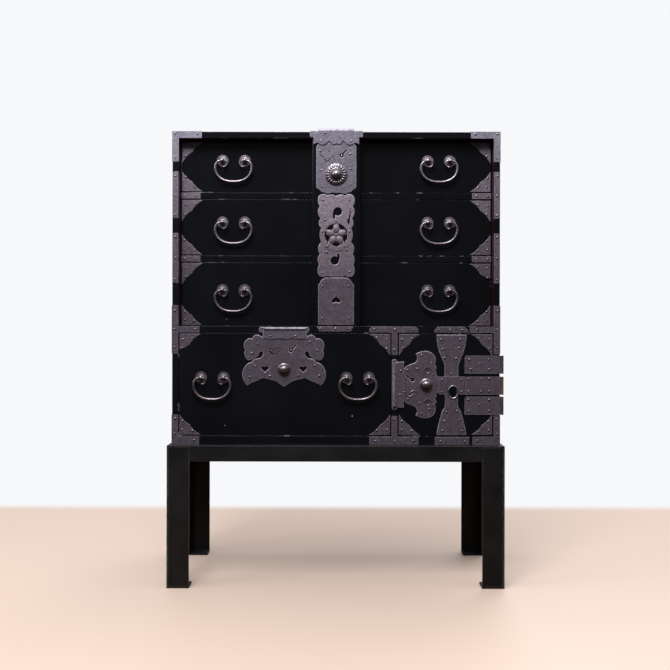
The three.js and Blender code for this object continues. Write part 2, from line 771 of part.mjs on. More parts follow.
// A strap hinge: the strap wraps two outer knuckles, and the side leaf holds the middle one and the pin.
function addHinge(name, z) {
  const half = hingeHeight / 2;
  const knuckle = hingeKnuckleHalf;
  const strapLeft = crossX + hingeStrapStart;
  const strapFront = sheetBack - hingeSheet;
  const barrelBore = hingePinRadius + pinGap;
  const clear = hingeBarrelRadius + pinGap;

  let strap = box([strapLeft, hingeX], [strapFront, sheetBack], [z - half, z + half]);
  strap = join(strap, rodAlongZ(hingeBarrelRadius, hingeX, hingeY, [z - half, z + half]));
  const around = (middle) => [middle - clear, middle + clear];
  const leafRoom = box(around(hingeX), around(hingeY), [z - knuckle, z + knuckle]);
  const bore = rodAlongZ(barrelBore, hingeX, hingeY, [z - half - 1, z + half + 1], 8);
  part(`door_hinge_${name}_strap`, cut(strap, leafRoom, bore), finish.iron());

  const leafBack = chestFront + plateReach;
  const leafLeft = chestRight + seat;
  const leafRight = leafLeft + hingeSheet;
  const low = z - knuckle + pinGap;
  const high = z + knuckle - pinGap;
  const leaf = join(
    box([leafLeft, leafRight], [hingeY + clear, leafBack], [z - half, z + half]),
    box([leafLeft + 0.4, leafRight], [hingeY, hingeY + clear + 1], [low, high]),
    rodAlongZ(hingeBarrelRadius, hingeX, hingeY, [low, high]),
    rodAlongZ(hingePinRadius, hingeX, hingeY, [z - half, z + half], 8),
  );
  part(`side_hinge_${name}_leaf`, leaf, finish.iron());
}

addStand();
addCarcass();
addDrawers();
addDrawerLock();
addLockingBar();
addHasps();
addDoor();

export default armoire;
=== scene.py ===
# %% [markdown]
# An iron-bound lacquer chest on a black steel stand.
# The chest is a box of thin boards under black lacquer. Every corner and edge that could be knocked is
# covered by nailed iron, and a locking bar, three hasps and three locks keep it shut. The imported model
# gives each board and fitting its exact place, and this lesson builds the finished surface around it.

import math
import random

import bmesh
import bpy
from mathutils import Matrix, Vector


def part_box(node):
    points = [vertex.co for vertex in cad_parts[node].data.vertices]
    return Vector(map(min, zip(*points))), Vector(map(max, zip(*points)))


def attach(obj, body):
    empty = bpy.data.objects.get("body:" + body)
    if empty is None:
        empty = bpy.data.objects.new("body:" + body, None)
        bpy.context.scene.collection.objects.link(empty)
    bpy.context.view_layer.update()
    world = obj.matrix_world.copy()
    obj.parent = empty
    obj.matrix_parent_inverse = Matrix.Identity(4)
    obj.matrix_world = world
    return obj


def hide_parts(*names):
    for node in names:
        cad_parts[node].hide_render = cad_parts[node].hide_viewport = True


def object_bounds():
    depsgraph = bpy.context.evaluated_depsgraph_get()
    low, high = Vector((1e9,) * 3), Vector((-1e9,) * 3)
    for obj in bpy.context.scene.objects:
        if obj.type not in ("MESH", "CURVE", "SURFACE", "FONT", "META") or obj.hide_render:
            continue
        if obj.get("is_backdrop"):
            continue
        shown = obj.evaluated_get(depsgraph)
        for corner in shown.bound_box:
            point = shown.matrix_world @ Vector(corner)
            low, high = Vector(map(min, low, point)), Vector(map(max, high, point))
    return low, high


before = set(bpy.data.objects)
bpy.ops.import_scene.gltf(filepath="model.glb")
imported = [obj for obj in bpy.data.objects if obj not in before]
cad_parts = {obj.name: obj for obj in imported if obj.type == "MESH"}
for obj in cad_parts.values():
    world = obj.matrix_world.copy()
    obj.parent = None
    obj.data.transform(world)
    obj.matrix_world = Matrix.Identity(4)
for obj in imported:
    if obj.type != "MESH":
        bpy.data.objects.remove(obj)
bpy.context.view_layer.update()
MM = 0.001

# %% [markdown]
# The viewer stands straight in front of the chest, at the height of its large drawer's top edge. A longer
# lens and a camera that looks straight ahead keep the boards upright, but for a roll of an eighth of a
# degree. The camera comes before any modelling, because it decides how much of each edge is ever seen.

# %% Set up the camera
EYE = (-0.0019, -2.199, 0.4895)
ROLL = math.radians(-0.12)

bpy.ops.object.camera_add(location=EYE, rotation=(math.radians(90), ROLL, 0))
camera = bpy.context.object
camera.data.lens = 57.58
camera.data.sensor_width = 36
camera.data.shift_y = -0.0075
bpy.context.scene.camera = camera
bpy.context.scene.view_settings.view_transform = "Standard"
print("camera at", tuple(camera.location), "lens", camera.data.lens)

# %% [markdown]
# Every finish is a graph of nodes, and so are the fade of the floor and the sky. One helper makes a
# material and sets the shader's own values, another adds a node with its values and its links, and the
# rest add what a graph needs often. Patterns read Object coordinates, in metres, so a scale of 100 is a
# pattern of about 10 mm.

# %% Helpers for graphs of nodes


def new_finish(name, values):
    """A material whose shader has these plain values."""
    made = bpy.data.materials.new(name)
    made.use_nodes = True
    shader = made.node_tree.nodes["Principled BSDF"]
    for socket, value in values.items():
        shader.inputs[socket].default_value = value
    return made


def add_node(finish, kind, values=(), links=(), **settings):
    """A node of that kind, with its values and the outputs that feed it."""
    made = finish.node_tree.nodes.new("ShaderNode" + kind)
    for name, value in settings.items():
        setattr(made, name, value)
    for socket, value in dict(values).items():
        made.inputs[socket].default_value = value
    for socket, source in dict(links).items():
        finish.node_tree.links.new(source, made.inputs[socket])
    return made


def object_point(finish, stretch=(1, 1, 1)):
    """The place on the object, stretched along its axes."""
    where = add_node(finish, "TexCoord").outputs["Object"]
    return add_node(finish, "Mapping", {"Scale": stretch}, {"Vector": where}).outputs["Vector"]


def noise(finish, point, scale, detail=4, rough=0.55):
    """Cloudy noise, from about 0.3 to 0.7."""
    values = {"Scale": scale, "Detail": detail, "Roughness": rough}
    return add_node(finish, "TexNoise", values, {"Vector": point}).outputs[0]


def fit(finish, value, low, high, to_low=0.0, to_high=1.0, **settings):
    """The value, moved from the range low to high into another one."""
    values = {"From Min": low, "From Max": high, "To Min": to_low, "To Max": to_high}
    return add_node(finish, "MapRange", values, {"Value": value}, **settings).outputs["Result"]


def written(finish, attribute):
    """The value that a piece carries on its points, such as rim or wear."""
    return add_node(finish, "Attribute", attribute_name=attribute).outputs["Fac"]


def blend_colours(finish, share, first, second):
    """First where the share is 0 and second where it is 1. Each is a colour or another node's output."""
    made = add_node(finish, "Mix", data_type="RGBA", clamp_factor=True)
    link = finish.node_tree.links.new
    link(share, made.inputs[0])
    for socket, colour in ((6, first), (7, second)):
        if isinstance(colour, tuple):
            made.inputs[socket].default_value = (*colour, 1)
        else:
            link(colour, made.inputs[socket])
    return made.outputs[2]


def arithmetic(finish, operation, first, second):
    """One sum on two values, each a number or another node's output."""
    made = add_node(finish, "Math", operation=operation)
    for socket, value in enumerate((first, second)):
        if isinstance(value, (int, float)):
            made.inputs[socket].default_value = value
        else:
            finish.node_tree.links.new(value, made.inputs[socket])
    return made.outputs[0]


def raise_surface(finish, height, depth, under=None):
    """Bumps the surface by the height, at most depth metres, on top of another bump."""
    values = {"Strength": 1.0, "Distance": depth}
    links = {"Height": height} if under is None else {"Height": height, "Normal": under}
    return add_node(finish, "Bump", values, links).outputs["Normal"]


def feed(finish, **links):
    """Links outputs to the shader: colour, roughness, metallic or normal."""
    shader = finish.node_tree.nodes["Principled BSDF"]
    sockets = {"colour": "Base Color", "roughness": "Roughness", "metallic": "Metallic", "normal": "Normal"}
    for name, source in links.items():
        finish.node_tree.links.new(source, shader.inputs[sockets[name]])
    print("finish", finish.name, len(finish.node_tree.nodes), "nodes")


# %% [markdown]
# The studio is plain: a pale, slightly warm floor that ends in a white surround. The floor fades away over
# eleven centimetres, so that it ends behind the chest in a soft straight line. The fade reads how far a
# point is from the middle, and counts X for less than Y. Iron and lacquer mirror the floor, and a pale one
# would light them from below. So the floor is pale to the camera alone, and to every other ray it is the
# brown of a wooden floor.

# %% Add the floor
FLOOR_HALF = 1.5
FADE_START, FADE_END = 0.70, 0.81
WIDTH_SHARE = 0.55
PALE_FLOOR, BROWN_FLOOR = (0.70, 0.54, 0.44, 1), (0.16, 0.085, 0.05, 1)

bpy.ops.mesh.primitive_plane_add(size=2 * FLOOR_HALF, location=(0, 0, 0))
floor = bpy.context.object
floor.name = "studio_floor"
floor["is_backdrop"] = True

floor_paint = new_finish("pale_floor", {"Base Color": PALE_FLOOR, "Roughness": 0.5})
floor_nodes = floor_paint.node_tree.nodes
seen = add_node(floor_paint, "LightPath").outputs["Is Camera Ray"]
brown = add_node(floor_paint, "BsdfDiffuse", {"Color": BROWN_FLOOR}).outputs[0]
pale = floor_nodes["Principled BSDF"].outputs[0]
shown = add_node(floor_paint, "MixShader", (), {"Fac": seen, 1: brown, 2: pale}).outputs[0]
squeezed = object_point(floor_paint, (WIDTH_SHARE, 1, 1))
away = add_node(floor_paint, "VectorMath", (), {0: squeezed}, operation="ABSOLUTE").outputs["Vector"]
sides = add_node(floor_paint, "SeparateXYZ", (), {0: away}).outputs
further = arithmetic(floor_paint, "MAXIMUM", sides["X"], sides["Y"])
edge = fit(floor_paint, further, FADE_START, FADE_END, interpolation_type="SMOOTHSTEP")
clear = add_node(floor_paint, "BsdfTransparent").outputs[0]
fade = add_node(floor_paint, "MixShader", (), {"Fac": edge, 1: shown, 2: clear}).outputs[0]
floor_paint.node_tree.links.new(fade, floor_nodes["Material Output"].inputs["Surface"])
floor.data.materials.append(floor_paint)
print("floor fades at", FADE_START, "to", FADE_END)

# %% [markdown]
# Black lacquer and iron show whatever they face, so the world decides how they look. A Light Path node
# tells a ray from the camera, which sees white, from a ray that carries light or a reflection. That one
# sees a dim horizon and a bright sky overhead, as in a room with a pale ceiling: upright faces stay black
# and every rounded top catches light. One broad lamp hangs above the viewer, and two weak ones stand to
# the left of the chest and behind it.

# %% Light the studio
HORIZON, OVERHEAD = 0.05, 1.15
WHITE, COOL_WHITE = (0.93, 0.94, 0.96, 1), (0.94, 0.95, 1.0, 1)
MIDDLE_OF_CHEST = Vector((0, 0, 0.55))
LAMPS = {
    "broad_lamp": ((-0.35, -1.85, 2.35), 1.1, 56),
    "side_lamp": ((-2.2, -1.2, 1.6), 1.0, 10),
    "back_lamp": ((0.9, 2.0, 2.2), 1.4, 22),
}

world = bpy.data.worlds.new("studio")
bpy.context.scene.world = world
world.use_nodes = True
white = world.node_tree.nodes["Background"]
white.inputs["Color"].default_value = WHITE
direction = add_node(world, "TexCoord").outputs["Generated"]
rise = add_node(world, "SeparateXYZ", (), {0: direction}).outputs["Z"]
climb = fit(world, rise, 0.08, 0.85, HORIZON, OVERHEAD, interpolation_type="SMOOTHSTEP")
quiet = add_node(world, "Background", {"Color": COOL_WHITE}, {"Strength": climb}).outputs[0]
seen = add_node(world, "LightPath").outputs["Is Camera Ray"]
shown = add_node(world, "MixShader", (), {"Fac": seen, 1: quiet, 2: white.outputs[0]}).outputs[0]
world.node_tree.links.new(shown, world.node_tree.nodes["World Output"].inputs["Surface"])

for name, (place, size, watts) in LAMPS.items():
    bpy.ops.object.light_add(type="AREA", location=place)
    lamp = bpy.context.object
    lamp.name = name
    lamp.data.size = size
    lamp.data.energy = watts
    lamp.rotation_euler = (MIDDLE_OF_CHEST - Vector(place)).to_track_quat("-Z", "Y").to_euler()
print("lamps", list(LAMPS))

# %% [markdown]
# Forged iron on such a chest is hammered sheet under a thin brown-black skin. It is a purple grey with a
# fine grain and dark flecks, rusty in a few places and rubbed brighter along its rims. It is also painted
# darker on faces that look down, as painted shade, and paler towards the top of the chest, as painted light
# from above. Each of these is one layer: three noises for the grey, the way a face looks for the painted
# shade, one noise for the rust, a height along Z for the painted light, an attribute called rim for the
# rubbed edges, and two bumps for the pits and the hammer marks. Sheet, rods, rosettes, knobs, nails and
# knuckles, whose dark rusty iron also stands for painted shade, differ only in their values, so one
# function mixes them all.

# %% Mix the forged iron
# The height range over which the iron turns paler, as painted light from above.
PAINTED_LIGHT_FROM, PAINTED_LIGHT_TO = 0.60, 0.86
RUST = (0.115, 0.052, 0.038)
# The colour of painted shade, for faces that look down.
PAINTED_SHADE = (0.03, 0.018, 0.018)
PIT_DEPTH, HAMMER_DEPTH = 0.0002, 0.0003


def iron_finish(name, low, high, rim_colour, roughness, rust_share, relief=1.0, metallic=0.6):
    """Hammered iron. Its colour goes from low at the foot of the chest to high at the top, as painted light
    from above, and faces that look down are darkened as painted shade.
    """
    finish = new_finish(name, {"Metallic": metallic, "Specular IOR Level": 0.5})
    point = object_point(finish)
    height = add_node(finish, "SeparateXYZ", (), {"Vector": point}).outputs["Z"]
    facing = add_node(finish, "TexCoord").outputs["Normal"]
    upwards = add_node(finish, "SeparateXYZ", (), {"Vector": facing}).outputs["Z"]
    # Painted light: the colour grows paler towards the top of the chest, as if lit from above.
    up = fit(finish, height, PAINTED_LIGHT_FROM, PAINTED_LIGHT_TO)
    base = blend_colours(finish, up, low, high)
    shadow = blend_colours(finish, up, tuple(c * 0.5 for c in low), tuple(c * 0.5 for c in high))
    cloudy = fit(finish, noise(finish, point, 75, 5, 0.6), 0.30, 0.56, 0.5, 1)
    grained = fit(finish, noise(finish, point, 540, 3, 0.7), 0.34, 0.56, 0.5, 1)
    flecked = fit(finish, noise(finish, point, 260, 3, 0.6), 0.36, 0.58, 0.15, 1)
    layers = arithmetic(finish, "MULTIPLY", cloudy, arithmetic(finish, "MULTIPLY", flecked, grained))
    mottled = blend_colours(finish, layers, shadow, base)
    # Painted shade: faces that look down are darkened, as if in shade.
    painted_underside_shade = fit(finish, upwards, -0.05, -0.6, 0, 0.85)
    mottled = blend_colours(finish, painted_underside_shade, mottled, PAINTED_SHADE)
    rust = fit(finish, noise(finish, point, 38, 5, 0.66), 0.56, 0.70, 0, rust_share)
    rusty = blend_colours(finish, rust, mottled, RUST)
    patchy = fit(finish, noise(finish, point, 150, 3), 0.34, 0.6, 0.15, 0.9)
    worn = arithmetic(finish, "MULTIPLY", written(finish, "rim"), patchy)
    colour = blend_colours(finish, worn, rusty, rim_colour)
    pits = noise(finish, point, 620, 5, 0.65)
    hammered = noise(finish, point, 290, 2)
    normal = raise_surface(finish, pits, PIT_DEPTH * relief)
    normal = raise_surface(finish, hammered, HAMMER_DEPTH * relief, normal)
    shine = fit(finish, pits, 0.35, 0.65, roughness - 0.06, roughness + 0.1)
    feed(finish, colour=colour, roughness=shine, normal=normal)
    return finish


# %% [markdown]
# Each iron has its colour at the foot of the chest and at its top, which differ as painted light from
# above, then its colour on its rims, its roughness and its share of rust, and where they differ from sheet,
# its relief and how metallic it is. The crest, the hasps, the bar's lock plate and the top angles are sheet
# too, but each was made and handled in its own way.

# %% Mix the irons of the fittings
plate_iron = iron_finish(
    "forged_iron", (0.146, 0.119, 0.151), (0.275, 0.234, 0.288), (0.38, 0.33, 0.39), 0.46, 0.45
)
crest_iron = iron_finish(
    "pale_forged_iron", (0.195, 0.16, 0.195), (0.45, 0.37, 0.44), (0.48, 0.41, 0.48), 0.46, 0.45
)
blue_iron = iron_finish(
    "blue_forged_iron", (0.132, 0.111, 0.15), (0.25, 0.222, 0.29), (0.37, 0.34, 0.42), 0.46, 0.3, 0.6
)
pale_iron = iron_finish(
    "rubbed_forged_iron", (0.175, 0.158, 0.205), (0.33, 0.31, 0.39), (0.4, 0.38, 0.45), 0.44, 0.25
)
bail_iron = iron_finish(
    "forged_iron_rod", (0.24, 0.2, 0.22), (0.46, 0.39, 0.44), (0.5, 0.45, 0.48), 0.26, 0.25, 0.2, 0.85
)
rosette_iron = iron_finish(
    "forged_iron_rosette", (0.17, 0.138, 0.168), (0.3, 0.25, 0.3), (0.42, 0.37, 0.42), 0.42, 0.4, 0.3, 0.7
)
knob_iron = iron_finish(
    "forged_iron_knob", (0.28, 0.245, 0.27), (0.5, 0.44, 0.49), (0.5, 0.45, 0.48), 0.27, 0.5, 0.2, 0.9
)
nail_iron = iron_finish(
    "forged_iron_nail", (0.24, 0.2, 0.24), (0.42, 0.36, 0.43), (0.4, 0.34, 0.4), 0.28, 0.5, 0.15, 0.85
)
# Dark iron for the hinge barrels, the door's keyhole pin and the discs of its bosses. Its darkness is partly
# rust and partly painted shade.
rust_and_shade_iron = iron_finish(
    "rusty_iron", (0.045, 0.030, 0.028), (0.06, 0.04, 0.036), (0.09, 0.07, 0.07), 0.55, 0.7, 1.0, 0.4
)
red_iron = iron_finish(
    "red_rusty_iron", (0.055, 0.026, 0.022), (0.13, 0.045, 0.032), (0.17, 0.08, 0.06), 0.6, 0.9, 1.0, 0.3
)
dark_iron = iron_finish(
    "blackened_iron", (0.008, 0.007, 0.008), (0.01, 0.009, 0.01), (0.02, 0.018, 0.02), 0.5, 0.2
)
bright_iron = iron_finish(
    "polished_iron", (0.62, 0.58, 0.6), (0.62, 0.58, 0.6), (0.7, 0.66, 0.68), 0.2, 0.1, 0.1, 1.0
)

# %% [markdown]
# Black lacquer is a deep gloss with very little colour of its own. Old lacquer is softly uneven, has fine
# hairlines in its gloss, and is chipped to a pale ground along its edges and here and there on its faces.
# The boards carry an attribute called wear, which is 1 at an edge and 0 from a millimetre or two inwards.

# %% Mix the black lacquer
GROUND = (0.34, 0.34, 0.36)

black_lacquer = new_finish("black_lacquer", {"Specular IOR Level": 0.34})
point = object_point(black_lacquer)
wear = written(black_lacquer, "wear")
flakes = noise(black_lacquer, point, 700, 4, 0.62)
patches = fit(black_lacquer, noise(black_lacquer, point, 30, 3), 0.5, 0.66)
chip_field = arithmetic(black_lacquer, "MULTIPLY", flakes, patches)
chips = fit(black_lacquer, arithmetic(black_lacquer, "MULTIPLY", chip_field, wear), 0.372, 0.41)
cells = add_node(black_lacquer, "TexVoronoi", {"Scale": 19.0}, {"Vector": point})
dot = fit(black_lacquer, cells.outputs["Distance"], 0.028, 0.016)
chosen = add_node(black_lacquer, "SeparateColor", (), {"Color": cells.outputs["Color"]}).outputs[0]
dents = arithmetic(black_lacquer, "MULTIPLY", dot, fit(black_lacquer, chosen, 0.5, 0.55))
marks = arithmetic(black_lacquer, "MAXIMUM", chips, dents)
depth_share = fit(black_lacquer, noise(black_lacquer, point, 5, 3), 0.35, 0.65)
deep = blend_colours(black_lacquer, depth_share, (0.0034, 0.0036, 0.0050), (0.0058, 0.0062, 0.0084))
patchy = fit(black_lacquer, noise(black_lacquer, point, 60, 4), 0.42, 0.7, 0, 0.35)
rubbed = arithmetic(black_lacquer, "MULTIPLY", wear, patchy)
rubbed_colour = blend_colours(black_lacquer, rubbed, deep, (0.022, 0.023, 0.027))
lacquer_colour = blend_colours(black_lacquer, marks, rubbed_colour, GROUND)
hairlines = noise(black_lacquer, object_point(black_lacquer, (1, 1, 14)), 60, 4)
gloss = fit(black_lacquer, hairlines, 0.35, 0.65, 0.13, 0.17)
lacquer_gloss = arithmetic(black_lacquer, "ADD", gloss, arithmetic(black_lacquer, "MULTIPLY", marks, 0.5))
waves = noise(black_lacquer, point, 9, 2)
lacquer_normal = raise_surface(black_lacquer, waves, 0.00012)
feed(black_lacquer, colour=lacquer_colour, roughness=lacquer_gloss, normal=lacquer_normal)

# %% [markdown]
# The sides of the upper recess are wiped with a dark red lacquer, which shows as a thin line beside the
# drawers. The boxes of the drawers are bare paulownia, a pale wood with long soft grain, and the stand is
# angle steel under satin black paint with the faint orange peel of a spray gun.

# %% Mix the red lacquer, the bare wood and the painted steel
red_lacquer = new_finish("red_lacquer", {"Specular IOR Level": 0.35, "Roughness": 0.34})
point = object_point(red_lacquer)
red_share = fit(red_lacquer, noise(red_lacquer, point, 40, 4), 0.35, 0.65)
feed(red_lacquer, colour=blend_colours(red_lacquer, red_share, (0.022, 0.003, 0.003), (0.05, 0.006, 0.006)),
     normal=raise_surface(red_lacquer, noise(red_lacquer, point, 300, 3), 0.0002))

bare_wood = new_finish("bare_wood", {"Specular IOR Level": 0.3})
grain_point = object_point(bare_wood, (1, 1, 16))
grain = noise(bare_wood, grain_point, 22, 6, 0.6)
fibres = noise(bare_wood, object_point(bare_wood, (6, 6, 150)), 8, 4, 0.7)
grain_share = fit(bare_wood, grain, 0.38, 0.62)
fibre_share = fit(bare_wood, fibres, 0.5, 0.75, 0, 0.35)
wood_colour = blend_colours(bare_wood, grain_share, (0.62, 0.46, 0.29), (0.42, 0.28, 0.16))
wood_colour = blend_colours(bare_wood, fibre_share, wood_colour, (0.3, 0.19, 0.11))
feed(bare_wood, colour=wood_colour, roughness=fit(bare_wood, fibres, 0.3, 0.7, 0.55, 0.75),
     normal=raise_surface(bare_wood, fibres, 0.0003))

painted_steel = new_finish("painted_steel", {"Specular IOR Level": 0.35})
point = object_point(painted_steel)
peel = noise(painted_steel, point, 900, 2)
steel_share = fit(painted_steel, noise(painted_steel, point, 14, 4), 0.35, 0.65)
steel_colour = blend_colours(painted_steel, steel_share, (0.0045, 0.0041, 0.0042), (0.0075, 0.0069, 0.0071))
patchy = fit(painted_steel, noise(painted_steel, point, 70, 4), 0.4, 0.65, 0.15, 0.8)
rubbed = arithmetic(painted_steel, "MULTIPLY", written(painted_steel, "rim"), patchy)
steel_colour = blend_colours(painted_steel, rubbed, steel_colour, (0.07, 0.07, 0.075))
feed(painted_steel, colour=steel_colour, roughness=fit(painted_steel, steel_share, 0, 1, 0.36, 0.48),
     normal=raise_surface(painted_steel, peel, 0.00012))

# %% [markdown]
# Modelling is done in edit mode, as by hand. An operator works on all that is selected, so each step
# starts by selecting nothing and then picks faces, edges or points by their place. A new primitive has
# its place and size applied at once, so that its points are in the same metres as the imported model.

# %% Helpers for modelling


def leave_edit_mode():
    """Object mode, with nothing selected."""
    if bpy.context.object and bpy.context.object.mode == "EDIT":
        bpy.ops.object.mode_set(mode="OBJECT")
    bpy.ops.object.select_all(action="DESELECT")


def take(*pieces):
    """Selects these pieces alone. The first is the active one."""
    leave_edit_mode()
    for piece in pieces:
        piece.select_set(True)
    bpy.context.view_layer.objects.active = pieces[0]
    return pieces[0]


def edit(piece):
    """Goes into edit mode on one piece."""
    take(piece)
    bpy.ops.object.mode_set(mode="EDIT")


def apply_place(piece, name=None):
    """Puts a piece's place, turn and scale into its mesh."""
    take(piece)
    bpy.ops.object.transform_apply(location=True, rotation=True, scale=True)
    piece.name = name or piece.name
    return piece


def block(name, low, high):
    """A cube stretched between two corners: the start of every board and plate."""
    low, high = Vector(low), Vector(high)
    leave_edit_mode()
    bpy.ops.mesh.primitive_cube_add(size=1, location=(low + high) / 2)
    bpy.context.object.scale = high - low
    return apply_place(bpy.context.object, name)


def centre_of(item):
    """The middle of a face or an edge, or the place of a point."""
    if isinstance(item, bmesh.types.BMVert):
        return item.co
    return sum((v.co for v in item.verts), Vector()) / len(item.verts)


def choose(kind, test):
    """In edit mode, selects the faces, edges or points that pass the test, and returns their number."""
    bpy.ops.mesh.select_mode(type=kind)
    bpy.ops.mesh.select_all(action="DESELECT")
    mesh = bmesh.from_edit_mesh(bpy.context.object.data)
    items = {"VERT": mesh.verts, "EDGE": mesh.edges, "FACE": mesh.faces}[kind]
    chosen = [item for item in items if test(item)]
    for item in chosen:
        item.select_set(True)
    bmesh.update_edit_mesh(bpy.context.object.data)
    return len(chosen)


def runs_along(edge, axis):
    """Whether an edge is parallel to that axis, 0 to 2."""
    along = edge.verts[1].co - edge.verts[0].co
    return along.length > 0 and abs(along[axis]) > 0.999 * along.length


def pull(x=0.0, y=0.0, z=0.0):
    """Extrudes the selected faces and moves them, in millimetres."""
    move = {"value": (x * MM, y * MM, z * MM)}
    bpy.ops.mesh.extrude_region_move(TRANSFORM_OT_translate=move)


def slice_at(**planes):
    """Cuts all faces at planes such as x=[...], in millimetres, and leaves both sides."""
    for axis, places in planes.items():
        for place in places:
            bpy.ops.mesh.select_all(action="SELECT")
            number = "xyz".index(axis)
            point = [place * MM if i == number else 0 for i in range(3)]
            normal = [1.0 if i == number else 0.0 for i in range(3)]
            bpy.ops.mesh.bisect(plane_co=point, plane_no=normal)


def saw_off(piece, place, direction):
    """Cuts off all that lies beyond a plane, and fills the cut. The direction points at what goes."""
    edit(piece)
    bpy.ops.mesh.select_all(action="SELECT")
    bpy.ops.mesh.bisect(plane_co=place, plane_no=direction, use_fill=True, clear_outer=True)
    leave_edit_mode()
    return piece


def two_finishes(piece, first, second, test, **planes):
    """Slices a piece at planes, and gives the second finish to the faces that pass the test."""
    piece.data.materials.append(first)
    piece.data.materials.append(second)
    edit(piece)
    slice_at(**planes)
    choose("FACE", test)
    bpy.context.object.active_material_index = 1
    bpy.ops.object.material_slot_assign()
    leave_edit_mode()
    return piece


QUARTER_TURN = math.radians(90)


def round_bar(name, radius, length, place=(0, 0, 0), turn_to=(0, 0, 0), sides=28):
    """A round bar at a place, in millimetres. It stands upright unless it is turned."""
    leave_edit_mode()
    bpy.ops.mesh.primitive_cylinder_add(
        vertices=sides, radius=radius * MM, depth=length * MM, location=[value * MM for value in place],
        rotation=turn_to,
    )
    return apply_place(bpy.context.object, name)


def apply_modifier(piece, kind, **settings):
    """Adds a modifier with these settings and applies it."""
    take(piece)
    made = piece.modifiers.new(kind.lower(), kind)
    for name, value in settings.items():
        setattr(made, name, value)
    bpy.ops.object.modifier_apply(modifier=made.name)
    return piece


def shade(piece, angle):
    """Smooth where faces meet at less than the angle. Large flat faces keep their own direction."""
    take(piece)
    bpy.ops.object.shade_smooth_by_angle(angle=math.radians(angle))
    return apply_modifier(piece, "WEIGHTED_NORMAL", keep_sharp=True)


def soften(piece, width, angle=30):
    """Rounds the edges of a piece that are sharper than the angle, by a width in millimetres."""
    apply_modifier(
        piece, "BEVEL", width=width * MM, segments=2, limit_method="ANGLE",
        angle_limit=math.radians(angle), use_clamp_overlap=True,
    )
    return shade(piece, 50)


def recalculate(piece, merge=True):
    """Merges doubled points and turns all faces outwards, after a mirror or a spin."""
    edit(piece)
    bpy.ops.mesh.select_all(action="SELECT")
    if merge:
        bpy.ops.mesh.remove_doubles(threshold=1e-6)
    bpy.ops.mesh.normals_make_consistent(inside=False)
    bpy.ops.object.mode_set(mode="OBJECT")
    return piece


def copy_piece(piece, name, move=(0, 0, 0), mirror=None):
    """A copy with a mesh of its own, moved in millimetres, or first mirrored across x, y or z = 0."""
    take(piece)
    bpy.ops.object.duplicate()
    made = bpy.context.object
    if mirror is not None:
        made.scale["xyz".index(mirror)] = -1
    made.location = Vector(move) * MM
    apply_place(made, name)
    return recalculate(made, merge=False) if mirror is not None else made


def cut_out(piece, *cutters, finish=None):
    """Cuts the cutters out of a piece and throws them away. The cut faces may take a finish of their own."""
    for cutter in cutters:
        if finish:
            cutter.data.materials.append(finish)
        apply_modifier(
            piece, "BOOLEAN", operation="DIFFERENCE", object=cutter, solver="EXACT",
            material_mode="TRANSFER" if finish else "INDEX",
        )
        bpy.data.objects.remove(cutter)
    return piece


def join_solids(piece, *others):
    """Unites closed solids into one."""
    for other in others:
        apply_modifier(piece, "BOOLEAN", operation="UNION", object=other, solver="EXACT")
        bpy.data.objects.remove(other)
    return piece


def together(name, *pieces):
    """Several separate shells kept as one piece."""
    take(*pieces)
    if len(pieces) > 1:
        bpy.ops.object.join()
    made = bpy.context.object
    made.name = name
    return made


# %% [markdown]
# A finished piece is dressed. It gets its finish, unless its faces have theirs already, the body that it
# rides on, and the imported nodes that it stands for.


def middle_of(node):
    """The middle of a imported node's box, in millimetres."""
    low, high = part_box(node)
    return (low + high) / 2 / MM


def dress(piece, body, finish, *nodes):
    """Gives a piece its finish, its body and its nodes."""
    if not len(piece.data.materials):
        piece.data.materials.append(finish)
    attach(piece, body)
    if nodes:
        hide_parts(*nodes)
    print(f"{piece.name}: {len(piece.data.polygons)} faces, rides on {body}")
    return piece


# %% [markdown]
# Paint and iron wear at their edges, and the material has to know where an edge is. Every wide face is
# inset by about a millimetre, and an attribute is written that is 1 on the outer points and 0 on the inner
# ones. It is done before the edges are rounded, so the rounding takes the value 1.

# %% Helpers that mark edges


def mark_edges(piece, attribute, reach):
    """Insets wide faces by a reach in millimetres, and writes the attribute: 1 on edges, 0 inside them."""

    def is_wide(face):
        spans = sorted(max(v.co[i] for v in face.verts) - min(v.co[i] for v in face.verts) for i in range(3))
        return spans[1] > 3 * reach * MM

    edit(piece)
    if choose("FACE", is_wide):
        bpy.ops.mesh.inset(thickness=reach * MM, use_individual=True)
    bpy.ops.object.mode_set(mode="OBJECT")
    inner = {number for face in piece.data.polygons if face.select for number in face.vertices}
    values = [0.0 if number in inner else 1.0 for number in range(len(piece.data.vertices))]
    piece.data.attributes.new(attribute, "FLOAT", "POINT").data.foreach_set("value", values)
    return piece


def file_rim(piece, width=0.3, reach=0.8):
    """Marks the rim of a piece of iron or steel, and rounds its edges by a width in millimetres."""
    mark_edges(piece, "rim", reach)
    return soften(piece, width)


# %% [markdown]
# The stand is welded from steel angle: four legs, each with a foot plate, and a frame that the chest sits
# on. A leg is one flange pulled out into the other, so it starts as a thin block, is cut where the second
# flange begins, and is extruded there. One leg is modelled and the other three are mirrored from it.

# %% Model the legs
STEEL = 3
FOOT_PLATE = 4
STEEL_EDGE, STEEL_RUB = 0.5, 1.2

leg_low, leg_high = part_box("stand_leg_front_left")
leg = block("front_left_leg", leg_low, (leg_high.x, leg_low.y + STEEL * MM, leg_high.z))
edit(leg)
slice_at(x=[leg_low.x / MM + STEEL])
choose("FACE", lambda f: f.normal.y > 0.9 and centre_of(f).x < leg_low.x + STEEL * MM)
pull(y=(leg_high.y - leg_low.y) / MM - STEEL)
foot = block("foot", leg_low, (leg_high.x, leg_high.y, leg_low.z + FOOT_PLATE * MM))
join_solids(leg, foot)
file_rim(leg, STEEL_EDGE, STEEL_RUB)

